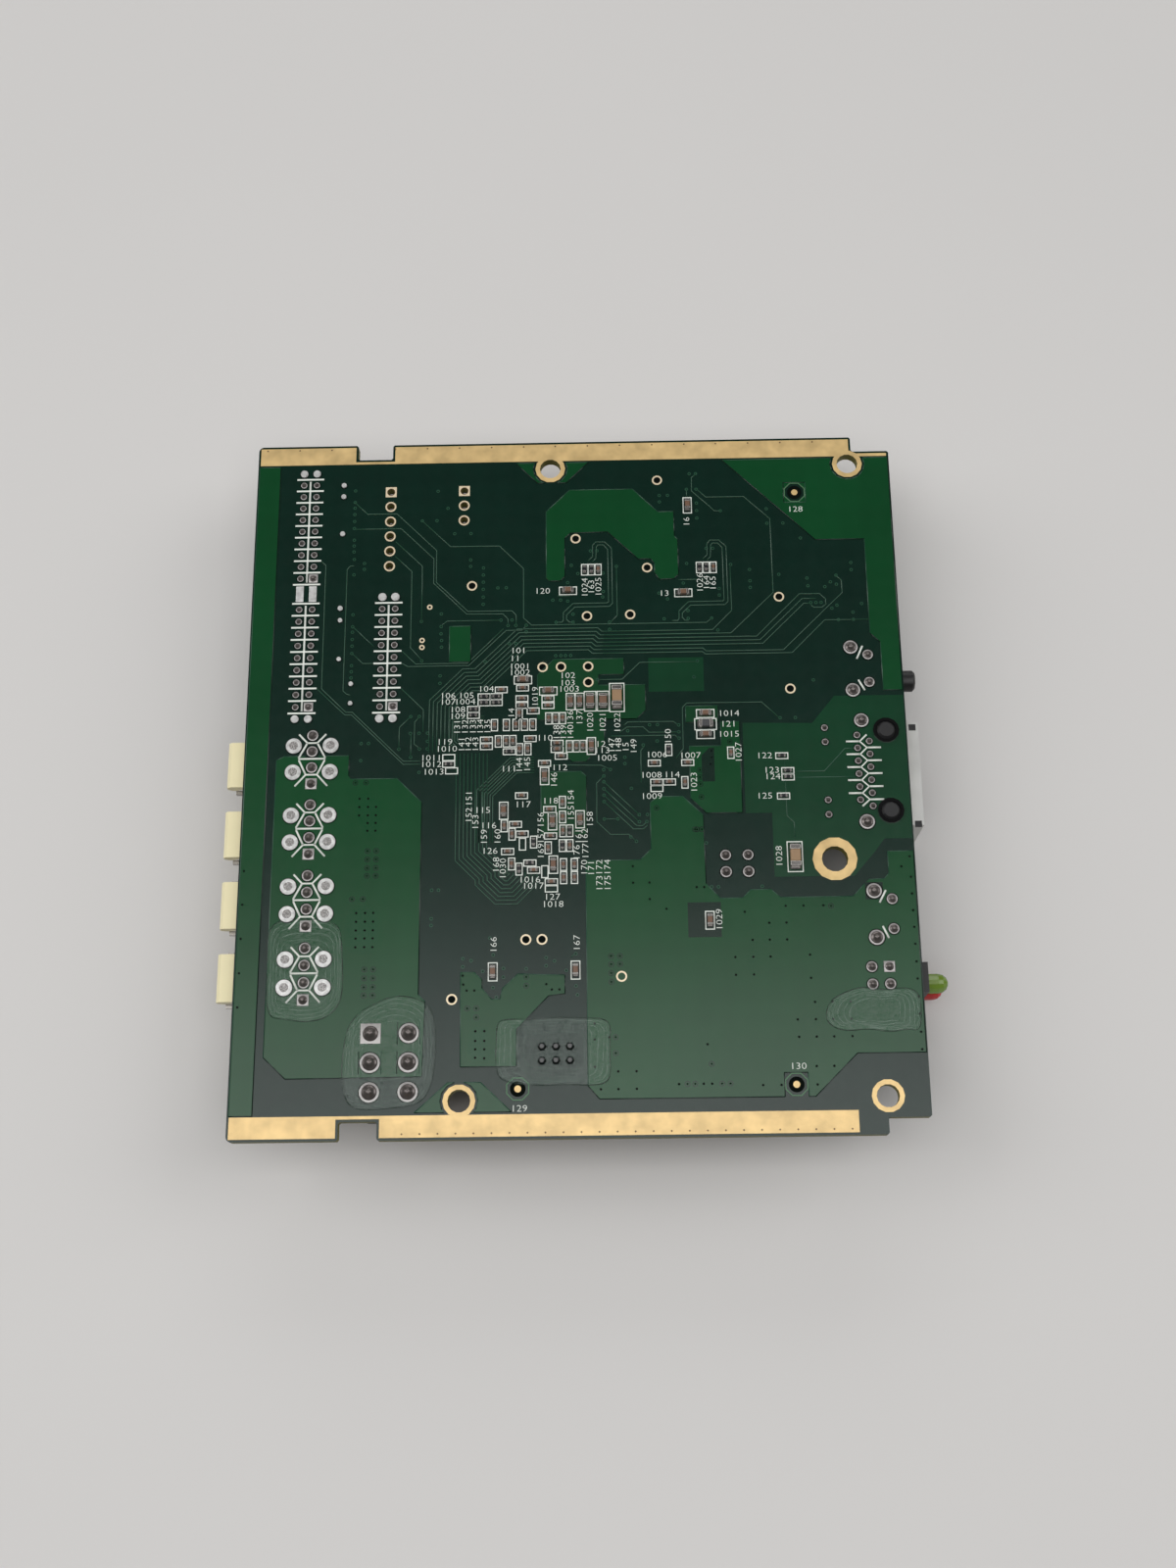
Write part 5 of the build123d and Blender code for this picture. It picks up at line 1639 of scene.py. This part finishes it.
@dataclass
class GluePatches(Dressing):
    """Clear glue brushed over soldered pins: a thin rippled film with a raised rim."""

    thickness: float = 0.03
    rim: float = 0.08
    ripple_bead: float = 0.06
    ripples: Sequence[float] = (0.93, 0.86, 0.77, 0.66, 0.54)
    flatness: float = 0.35
    wander: float = 0.02
    wander_step: float = 5.3
    wander_turn: float = 9.0
    outlines: dict[str, Line] = field(
        default_factory=lambda: {
            "power_header_glue": (
                (20.6, 19.2), (23.4, 20.4), (26.8, 19.9), (29.0, 18.2), (29.5, 13.6), (29.2, 8.3),
                (27.7, 4.7), (22.4, 4.1), (18.0, 4.0), (16.5, 5.7), (16.0, 9.5), (16.3, 13.8), (17.0, 16.4),
                (18.6, 18.1),
            ),
            "fan_header_glue": (
                (4.9, 17.4), (7.6, 17.1), (10.5, 16.6), (13.5, 17.1), (15.4, 19.0), (15.9, 21.4),
                (15.6, 26.9), (15.2, 31.4), (9.0, 32.0), (4.5, 31.2), (4.8, 24.9),
            ),
            "lamp_glue": (
                (86.0, 18.7), (85.2, 16.4), (86.2, 14.9), (88.5, 14.3), (91.3, 14.7), (94.5, 14.1),
                (97.0, 14.6), (98.7, 14.2), (99.1, 17.4), (98.8, 19.9), (96.8, 20.6), (94.0, 20.1),
                (90.7, 20.8), (87.9, 19.8),
            ),
            "signal_header_glue": (
                (38.2, 16.0), (39.0, 16.7), (43.0, 16.6), (47.3, 16.9), (51.2, 16.7), (53.6, 16.6),
                (54.6, 15.5), (54.3, 12.0), (54.5, 8.3), (53.4, 7.2), (51.2, 7.1), (47.3, 7.3), (44.4, 7.1),
                (38.7, 7.7), (38.0, 10.1), (38.1, 13.7),
            ),
        }
    )

    def edge(self, outline: Line, name: str, fill: str, bead: float) -> bpy.types.Object:
        """Draw a patch's edge as one smooth closed curve, filled or as a bead.

        Args:
            outline: Points that the edge follows, on the grid.
            name: Name of the piece.
            fill: How the curve is filled.
            bead: Radius of the bead in millimetres, or nought for the film.

        Returns:
            The film or the bead as a mesh.
        """
        curve = bpy.data.curves.new(name, "CURVE")
        curve.dimensions = "2D" if fill == "BOTH" else "3D"
        curve.fill_mode = fill
        curve.bevel_depth = bead * MILLIMETRE
        curve.bevel_resolution = 1
        curve.resolution_u = 6
        if not bead:
            curve.extrude = self.thickness / 2 * MILLIMETRE
        spline = curve.splines.new("NURBS")
        spline.points.add(len(outline) - 1)
        for point, (x, y) in zip(spline.points, outline):
            point.co = (*self.board.at(x, y)[:2], 0, 1)
        spline.use_cyclic_u = True
        spline.order_u = 3
        patch = add_object(name, curve)
        patch.location.z = self.board.at(0, 0, Layer.GLUE.value).z
        bpy.context.view_layer.update()
        return as_mesh(patch)

    def bead(self, outline: Line, name: str, radius: float) -> bpy.types.Object:
        """Draw a low bead along an outline."""
        piece = self.edge(outline, name, "FULL", radius)
        with editing(piece):
            bpy.ops.mesh.select_all(action="SELECT")
            level = self.board.at(0, 0, Layer.GLUE.value).z
            bpy.ops.transform.resize(value=(1, 1, self.flatness), center_override=(0, 0, level))
        return smooth(piece, 80)

    def shrunk(self, outline: Line, share: float) -> Line:
        """Draw an outline in towards its middle, a little unevenly as glue dries."""
        middle = Vector((sum(x for x, _ in outline), sum(y for _, y in outline))) / len(outline)
        corners = []
        for number, point in enumerate(outline):
            wave = math.sin(self.wander_step * number + self.wander_turn * share)
            corner = middle + (Vector(point) - middle) * (share + self.wander * wave)
            corners.append((corner.x, corner.y))
        return corners

    def dress(self) -> None:
        """Brush on each patch, with its rim and its ripples."""
        for name, outline in self.outlines.items():
            # The film and its ripples are tinted pale as painted sheen, and the rim dark as painted shade
            film = self.edge(outline, name, "BOTH", 0.0)
            self.hand_in(film, "sealant_black", "clear_glue_painted_sheen")
            rim = self.bead(outline, f"{name}_rim", self.rim)
            self.hand_in(rim, "sealant_black", "glue_rim_painted_shade")
            beads = [
                self.bead(self.shrunk(outline, share), "ripple", self.ripple_bead) for share in self.ripples
            ]
            ripples = join(beads, f"{name}_ripples")
            self.hand_in(ripples, "sealant_black", "glue_ripple_painted_sheen")


@dataclass
class Print(Dressing):
    """White print: boxes round the chips, strokes round the connectors, and plain numbers."""

    stroke: float = 0.15
    wide_stroke: float = 0.28
    text_height: float = 1.36
    widening: float = 1.2
    letter_weight: float = -0.018
    thickness: float = 0.015
    BOX_MARGINS: ClassVar[dict[str, Point]] = {
        "tiny_capacitors": (0.95, 0.58),
        "small_capacitors": (1.2, 0.62),
        "medium_capacitors": (1.3, 0.65),
        "large_capacitors": (1.5, 0.75),
        "ferrite_bead": (1.4, 0.65),
        "tiny_resistors": (0.95, 0.58),
    }
    BARE_ACROSS: ClassVar[tuple[Point, ...]] = ((46.1, 35.85), (61.9, 51.0), (30.75, 56.35), (31.2, 54.25))
    BARE_UPRIGHT: ClassVar[tuple[Point, ...]] = ((41.85, 42.7), (45.15, 38.45))
    ACROSS_LABELS: ClassVar[tuple[tuple[float, float, int], ...]] = (
        (41.2, 73.4, 3), (40.7, 72.1, 2), (41.4, 70.8, 4), (41.4, 69.8, 4), (48.7, 69.2, 3), (48.7, 68.0, 3),
        (48.9, 67.0, 4), (36.3, 67.2, 3), (33.3, 66.2, 3), (30.5, 66.2, 3), (33.1, 65.2, 4), (30.5, 65.2, 3),
        (32.0, 63.95, 3), (32.0, 62.9, 3), (45.2, 59.2, 3), (39.8, 54.4, 3), (47.4, 54.5, 3),
        (53.6, 58.1, 2), (53.8, 57.1, 3), (54.5, 55.9, 4), (62.0, 56.3, 4), (67.0, 56.1, 4), (61.1, 53.1, 4),
        (64.2, 53.1, 3), (61.1, 49.8, 4), (35.9, 48.0, 3), (36.8, 45.6, 3), (41.9, 48.8, 3), (46.0, 49.3, 3),
        (30.1, 58.8, 3), (30.4, 57.7, 4), (28.1, 56.3, 4), (28.1, 55.3, 4), (28.5, 54.1, 4), (44.9, 83.2, 3),
        (63.7, 82.5, 2), (73.0, 62.7, 4), (72.9, 61.0, 3), (72.9, 59.4, 4), (78.1, 55.9, 3), (79.1, 53.6, 3),
        (79.2, 52.6, 3), (77.9, 49.6, 3), (37.0, 41.7, 3), (42.9, 37.25, 4), (43.4, 36.3, 4),
        (46.2, 34.6, 3), (46.3, 33.5, 4), (84.5, 96.4, 3), (41.4, 3.9, 3), (81.1, 9.4, 3),
    )
    UPRIGHT_LABELS: ClassVar[tuple[tuple[float, float, int], ...]] = (
        (43.8, 65.9, 4), (40.2, 63.3, 2), (32.0, 61.2, 3), (33.2, 61.2, 3), (34.4, 61.2, 3), (35.5, 61.2, 3),
        (36.6, 61.2, 3), (49.1, 62.4, 3), (50.5, 62.4, 3), (52.1, 61.6, 4), (54.0, 61.6, 4), (56.2, 61.5, 4),
        (47.0, 60.1, 3), (48.0, 60.1, 3), (49.1, 60.1, 3), (32.7, 58.4, 3), (33.7, 58.4, 3), (34.8, 58.4, 3),
        (41.4, 55.0, 3), (42.6, 55.1, 3), (46.6, 52.6, 3), (55.3, 57.9, 3), (56.3, 57.9, 3), (57.4, 57.6, 2),
        (58.6, 57.7, 3), (63.8, 59.2, 3), (67.5, 51.9, 4), (33.9, 49.9, 3), (33.9, 47.3, 3), (34.9, 46.2, 3),
        (49.1, 49.8, 3), (49.1, 47.4, 3), (44.6, 46.4, 3), (44.6, 43.9, 3), (51.9, 46.4, 3), (36.2, 43.9, 3),
        (38.2, 43.9, 3), (50.2, 43.8, 3), (51.1, 43.8, 3), (51.5, 83.7, 4), (52.5, 83.8, 3), (53.6, 83.8, 4),
        (67.5, 94.6, 2), (69.3, 84.2, 4), (70.3, 84.2, 3), (71.3, 84.1, 3), (74.3, 56.5, 4), (79.7, 40.3, 4),
        (70.6, 30.9, 4), (37.7, 27.6, 3), (49.8, 27.7, 3), (38.0, 39.6, 3), (39.0, 39.0, 4), (44.6, 41.6, 3),
        (51.0, 39.0, 3), (52.0, 38.9, 3), (53.2, 39.0, 3), (53.2, 36.6, 3), (54.4, 39.0, 3), (54.4, 36.6, 3),
        (49.9, 41.3, 3), (51.2, 41.5, 3),
    )
    FAN_STROKES: ClassVar[tuple[Line, ...]] = (
        ((-2.05, 4.01), (-0.75, 2.61), (0.75, 2.61), (2.05, 4.01)),
        ((-0.75, 2.61), (-2.0, 0.26)),
        ((0.75, 2.61), (2.0, 0.26)),
        ((-2.05, 0.11), (2.05, 0.11)),
        ((-1.95, -0.09), (-0.85, -2.39)),
        ((1.95, -0.09), (0.85, -2.39)),
        ((-2.45, -4.19), (-0.85, -2.39), (0.85, -2.39), (2.45, -4.19)),
    )
    BUTTON_STROKES: ClassVar[tuple[Line, ...]] = (
        ((93.7, 73.3), (92.75, 71.2)),
        ((92.8, 67.8), (93.7, 66.1)),
        ((95.0, 34.95), (94.0, 33.1)),
        ((94.25, 29.6), (95.05, 27.8)),
    )
    JACK_STROKES: ClassVar[tuple[Line, ...]] = (
        ((90.4, 57.95), (92.45, 57.95)),
        ((93.55, 56.95), (95.6, 56.95)),
    )
    ZIGZAG: ClassVar[Line] = ((92.45, 57.95), (93.5, 56.95))
    ZIGZAG_ENDS: ClassVar[Line] = ((93.55, 59.0), (92.35, 47.8))
    jack_rows: int = 5
    jack_pitch: float = 2.03
    header_reach: float = 8.65
    fan_inset: float = 0.32

    def chip_boxes(self) -> bpy.types.Object:
        """Print a box round each chip and each bare pair of pads.

        Returns:
            All the boxes as one piece.
        """
        level = Layer.PRINT.value
        boxes = []
        for node, (along, across) in self.BOX_MARGINS.items():
            chips = solids_of(node)
            length = chips[0].length / MILLIMETRE + along
            width = chips[0].width / MILLIMETRE + across
            places = [(self.board.over(chip.middle, level), chip.turn.value) for chip in chips]
            if node == "tiny_resistors":
                places += self.board.spots(self.BARE_ACROSS, level, Turn.ACROSS.value)
                places += self.board.spots(self.BARE_UPRIGHT, level, Turn.UPRIGHT.value)
            boxes.append(stamp(self.box(length, width), places, "boxes"))
        return join(boxes, "chip_boxes")

    def box(self, length: float, width: float) -> bpy.types.Object:
        """Model one printed box as a flat open frame, lying along X."""
        deselect()
        bpy.ops.mesh.primitive_plane_add(size=1)
        frame_piece = settle(bpy.context.object)
        frame_piece.data.transform(Matrix.Diagonal((length * MILLIMETRE, width * MILLIMETRE, 1, 1)))
        return hollow(frame_piece, self.stroke * MILLIMETRE, self.thickness * MILLIMETRE)

    def numbers(self) -> bpy.types.Object:
        """Print a plain number beside each chip.

        Returns:
            All the numbers as one mesh.
        """
        pieces = []
        counts = {2: 10, 3: 100, 4: 1000}
        for turn, labels in ((Turn.ACROSS, self.ACROSS_LABELS), (Turn.UPRIGHT, self.UPRIGHT_LABELS)):
            for x, y, digits in labels:
                counts[digits] += 1
                deselect()
                bpy.ops.object.text_add(
                    location=self.board.at(x, y, Layer.PRINT.value), rotation=(0, 0, turn.value)
                )
                text = bpy.context.object
                text.data.body = str(counts[digits])
                text.data.size = self.text_height * MILLIMETRE
                text.data.align_x = "CENTER"
                text.data.align_y = "CENTER"
                text.data.extrude = self.thickness / 2 * MILLIMETRE
                text.data.offset = self.letter_weight * MILLIMETRE
                text.scale.x = self.widening
                text.data.resolution_u = 2
                pieces.append(as_mesh(text))
        return join(pieces, "printed_numbers")

    def strokes(self) -> bpy.types.Object:
        """Print the strokes round the header, fan, jack and button pins.

        Returns:
            All the strokes as one piece.
        """
        level = Layer.PRINT.value
        lines: list[list[Vector]] = []
        for name in ("a", "b", "c"):
            low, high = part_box(f"header_{name}_pins")
            reach = Vector((0, self.header_reach * MILLIMETRE, 0))
            lines.append([self.board.over((low + high) / 2 + reach * side, level) for side in (-1, 1)])
        for number in range(1, 5):
            low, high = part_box(f"fan_header_{number}_pins")
            middle = Vector((high.x - self.fan_inset * MILLIMETRE, (low.y + high.y) / 2, 0))
            for stroke in self.FAN_STROKES:
                lines.append(
                    [self.board.over(middle + Vector((x, y, 0)) * MILLIMETRE, level) for x, y in stroke]
                )
        strokes = list(self.BUTTON_STROKES)
        zigzag = [self.ZIGZAG_ENDS[0]]
        for row in range(self.jack_rows):
            drop = self.jack_pitch * row
            strokes += [[(x, y - drop) for x, y in stroke] for stroke in self.JACK_STROKES]
            zigzag += [(x, y - drop) for x, y in self.ZIGZAG]
        strokes.append([*zigzag, self.ZIGZAG_ENDS[1]])
        lines += [[self.board.at(x, y, level) for x, y in stroke] for stroke in strokes]
        return ribbons(lines, self.wide_stroke, self.thickness, "printed_strokes")

    def dress(self) -> None:
        """Print everything in white."""
        for piece in (self.chip_boxes(), self.strokes(), self.numbers()):
            self.hand_in(piece, "white_print")


@dataclass
class JackShell(Dressing):
    """Dark slots in the network jack's shell, where its springs are cut free."""

    slot_rows: Sequence[tuple[float, float]] = ((60.1, 61.1), (44.9, 45.9))
    wall_gap: float = 0.6
    inset: float = 0.35
    depth: float = 0.02
    slot_round: float = 0.01

    def dress(self) -> None:
        """Lay a dark slot near each end of the shell's upper face."""
        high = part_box("jack_shell")[1]
        left = self.board.high.x + self.wall_gap * MILLIMETRE
        right = high.x - self.inset * MILLIMETRE
        slots = []
        for near, far in self.slot_rows:
            start = Vector((left, self.board.at(0, near).y, self.board.low.z))
            end = Vector((right, self.board.at(0, far).y, self.board.low.z))
            size = (end.x - start.x, end.y - start.y, self.depth * MILLIMETRE)
            middle = (start + end) / 2 + UP * self.depth / 2 * MILLIMETRE
            slots.append(soften(block(size, "slot", middle), self.slot_round))
        piece = join(slots, "jack_slots")
        self.hand_in(piece, "black_plastic")


@dataclass
class ComponentSide(Dressing):
    """What the side that faces down shows: leads, moulded dots, print, vias and copper under the mask."""

    lead_pitch: float = 0.8
    lead_width: float = 0.34
    lead_thickness: float = 0.14
    foot: float = 0.5
    shoulder: float = 0.2
    row_margin: float = 1.0
    shoulder_share: float = 0.45
    dot_radius: float = 0.5
    dot_inset: float = 2.2
    dot_height: float = 0.02
    dot_lift: float = 0.01
    mark_share: float = 0.4
    mark_start: float = 110.0
    mark_sweep: float = 140.0
    mark_sides: int = 14
    mark_thickness: float = 0.02
    mark_lift: float = 0.015
    pour_sink: float = 0.01
    outline_gap: float = 1.0
    print_thickness: float = 0.02
    leaded: Sequence[str] = ("memory_chip", "flash_memory", "network_chip", "converter_chips")
    outlined: Sequence[str] = (
        "processor", "memory_chip", "flash_memory", "network_chip", "inductors", "crystals"
    )

    def lead(self, height: float) -> bpy.types.Object:
        """Model one bent lead that points along X, its foot on the board's lower face.

        Args:
            height: Drop from the board to the lead's shoulder in millimetres.

        Returns:
            The lead at the origin.
        """
        size = (self.foot * MILLIMETRE, self.lead_width * MILLIMETRE, self.lead_thickness * MILLIMETRE)
        middle = Vector(((self.shoulder + self.foot) * MILLIMETRE, 0, -size[2] / 2))
        piece = block(size, "lead", middle)
        with editing(piece):
            choose_faces(piece, Vector((-1, 0, 0)))
            bpy.ops.mesh.extrude_region_move(
                TRANSFORM_OT_translate={"value": (-self.shoulder * MILLIMETRE, 0, -height * MILLIMETRE)}
            )
            bpy.ops.mesh.extrude_region_move(
                TRANSFORM_OT_translate={"value": (-self.shoulder * 2 * MILLIMETRE, 0, 0)}
            )
        return piece

    def leads(self) -> bpy.types.Object:
        """Set a row of leads along both long sides of each leaded chip.

        Returns:
            All the leads as one piece.
        """
        rows = []
        for node in self.leaded:
            for chip in solids_of(node):
                across = chip.turn is Turn.ACROSS
                reach = chip.width / 2
                count = int((chip.length / MILLIMETRE - self.row_margin) / self.lead_pitch) + 1
                first = -self.lead_pitch * (count - 1) / 2
                places = []
                for step in range(count):
                    shift = (first + self.lead_pitch * step) * MILLIMETRE
                    for side in (1, -1):
                        x, y = (shift, side * reach) if across else (side * reach, shift)
                        place = Vector((chip.middle.x + x, chip.middle.y + y, self.board.low.z))
                        places.append((place, (side if across else 1 - side) * math.pi / 2))
                drop = chip.size.z / MILLIMETRE * self.shoulder_share
                rows.append(stamp(self.lead(drop), places, "leads"))
        return join(rows, "chip_leads")

    def dots(self) -> bpy.types.Object:
        """Mould a round mark near one corner of each chip."""
        inset = self.dot_radius * self.dot_inset
        step = Vector((inset, -inset, -self.dot_lift)) * MILLIMETRE
        places = []
        for node in ("processor", *self.leaded):
            for chip in solids_of(node):
                places.append((Vector((chip.low.x, chip.high.y, chip.low.z)) + step, 0.0))
        return stamp(disc(self.dot_radius, self.dot_height, 16, "dot"), places, "chip_dots")

    def outlines(self) -> bpy.types.Object:
        """Print a white line round each large part."""
        printer = Print(self.board, self.finishes)
        frames = []
        for node in self.outlined:
            for part in solids_of(node):
                length = part.size.x / MILLIMETRE + self.outline_gap * 2
                width = part.size.y / MILLIMETRE + self.outline_gap * 2
                level = self.board.low.z - self.print_thickness * MILLIMETRE
                place = Vector((part.middle.x, part.middle.y, level))
                frames.append(stamp(printer.box(length, width), [(place, 0.0)], "frame"))
        return join(frames, "part_outlines")

    def can_marks(self) -> bpy.types.Object:
        """Print the dark half-round mark on the end of each can capacitor."""
        marks = []
        for can in solids_of("can_capacitors"):
            radius = can.size.x * self.mark_share
            outline = []
            for step in range(self.mark_sides + 1):
                turn = math.radians(self.mark_start + self.mark_sweep * step / self.mark_sides)
                corner = can.middle + Vector((math.cos(turn), math.sin(turn), 0)) * radius
                outline.append((corner.x, corner.y))
            mark = flat_plate([outline], self.mark_thickness * MILLIMETRE, "mark")
            mark.data.transform(Matrix.Translation(UP * (can.low.z - self.mark_lift * MILLIMETRE)))
            marks.append(mark)
        return join(marks, "can_marks")

    def pours(self) -> bpy.types.Object:
        """Repeat the copper fields on the lower face, as boards of this kind do."""
        mesh = nodes["copper_pours"].data.copy()
        fields = add_object("under_pours", mesh)
        with editing(fields):
            bpy.ops.mesh.select_all(action="SELECT")
            bpy.ops.mesh.remove_doubles(threshold=1e-6)
        drop = self.board.low.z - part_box("copper_pours")[1].z + self.pour_sink * MILLIMETRE
        mesh.transform(Matrix.Translation(UP * drop))
        return fields

    def vias(self) -> bpy.types.Object:
        """Repeat the vias, which pass through the board."""
        fall = (self.board.low.z - self.board.high.z) / MILLIMETRE - Vias.via_height
        via = ring(*Vias.via_ring, Vias.via_height, 8, "via")
        return stamp(via, self.board.spots(Vias.DARK_FIELD, fall), "under_vias")

    def dress(self) -> None:
        """Finish and hand in each piece of the lower face."""
        for piece, slot, extra in (
            (self.leads(), "tinned_pin", None),
            (self.dots(), "chip_black", "mould_mark"),
            (self.outlines(), "white_print", None),
            (self.can_marks(), "can_aluminium", "can_print"),
            (self.pours(), "solder_mask_light", None),
            (self.vias(), "solder_mask_light", "mask_over_trace_and_step_highlight"),
        ):
            self.hand_in(piece, slot, extra)


@dataclass(frozen=True)
class Card:
    """A soft card of light: its name, place, the point that it faces, width, depth, all metres, and watts."""

    name: str
    place: tuple[float, float, float]
    target: tuple[float, float, float]
    width: float
    depth: float
    power: float

    def hang(self) -> None:
        """Hang the card in the scene."""
        light = bpy.data.lights.new(self.name, "AREA")
        light.shape = "RECTANGLE"
        light.size = self.width
        light.size_y = self.depth
        light.energy = self.power
        lamp = add_object(self.name, light)
        lamp.location = self.place
        lamp.rotation_euler = (Vector(self.target) - Vector(self.place)).to_track_quat("-Z", "Y").to_euler()


@dataclass
class Studio:
    """Pale floor, soft light and the camera at the photograph's place."""

    floor: Finish = PlainFinish("pale_floor", (208, 206, 204), 0.75, mottle=0.03, mottle_scale=12.0)
    floor_width: float = 3.0
    floor_level: float = -0.0001
    cards: Sequence[Card] = (
        Card("overhead_card", (-0.05, -0.23, 0.9), (-0.05, -0.23, 0.0), 1.1, 0.75, 5.8),
        Card("left_card", (-1.0, 0.3, 0.75), (0.0, 0.0, 0.0), 0.8, 0.9, 6.0),
        Card("right_card", (1.0, 0.3, 0.8), (0.0, 0.0, 0.0), 0.8, 0.9, 5.2),
        Card("far_card", (0.0, 1.5, 0.7), (0.0, 0.3, 0.0), 1.4, 0.6, 6.0),
    )
    surround: float = 0.05
    camera_place: Vector = field(default_factory=lambda: Vector((0.004625, -0.08225, 0.2706)))
    view: Vector = field(default_factory=lambda: Vector((-0.0137, 0.2984, -0.9543)))
    up: Vector = field(default_factory=lambda: Vector((0.0149, 0.9544, 0.2982)))
    lens: float = 41.15
    sensor: float = 36.0
    nearest: float = 0.01

    def lay_floor(self) -> None:
        """Lay the pale floor."""
        deselect()
        bpy.ops.mesh.primitive_plane_add(size=self.floor_width, location=(0, 0, self.floor_level))
        floor = settle(bpy.context.object)
        floor.name = "floor"
        floor.data.materials.append(self.floor.material())

    def light(self) -> None:
        """Hang the overhead card and the side cards, and set a dim even surround."""
        for card in self.cards:
            card.hang()
        world = bpy.data.worlds.new("surround")
        world.use_nodes = True
        background = world.node_tree.nodes["Background"]
        background.inputs["Color"].default_value = (1, 1, 1, 1)
        background.inputs["Strength"].default_value = self.surround
        bpy.context.scene.world = world

    def camera(self) -> None:
        """Stand the camera where the photograph was taken."""
        data = bpy.data.cameras.new("camera")
        data.lens = self.lens
        data.sensor_width = self.sensor
        data.clip_start = self.nearest
        camera = add_object("camera", data)
        right = self.view.cross(self.up).normalized()
        turn = Matrix((right, right.cross(self.view).normalized(), -self.view.normalized())).transposed()
        camera.matrix_world = Matrix.Translation(self.camera_place) @ turn.to_4x4()
        bpy.context.scene.camera = camera

    def set_up(self) -> None:
        """Build the whole studio."""
        self.lay_floor()
        self.light()
        self.camera()
        bpy.context.scene.view_settings.view_transform = "Standard"


def main() -> None:
    """Build and dress every sub-assembly, then the studio."""
    logging.basicConfig(level=logging.INFO, format="%(message)s")
    low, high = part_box("board")
    board = Board(low, high)
    finishes = Finishes()
    finishes.paint_frame()
    for kind in (
        SolderJoints, ThiefPads, ChipSet, RoundWindows, CopperZones, ZoneEdges, Traces, Vias, SpareHoles,
        StripDots, AimingSurrounds, GluePatches, Print, JackShell, ComponentSide,
    ):
        kind(board, finishes).dress()
    Studio().set_up()


if __name__ == "__main__":
    main()
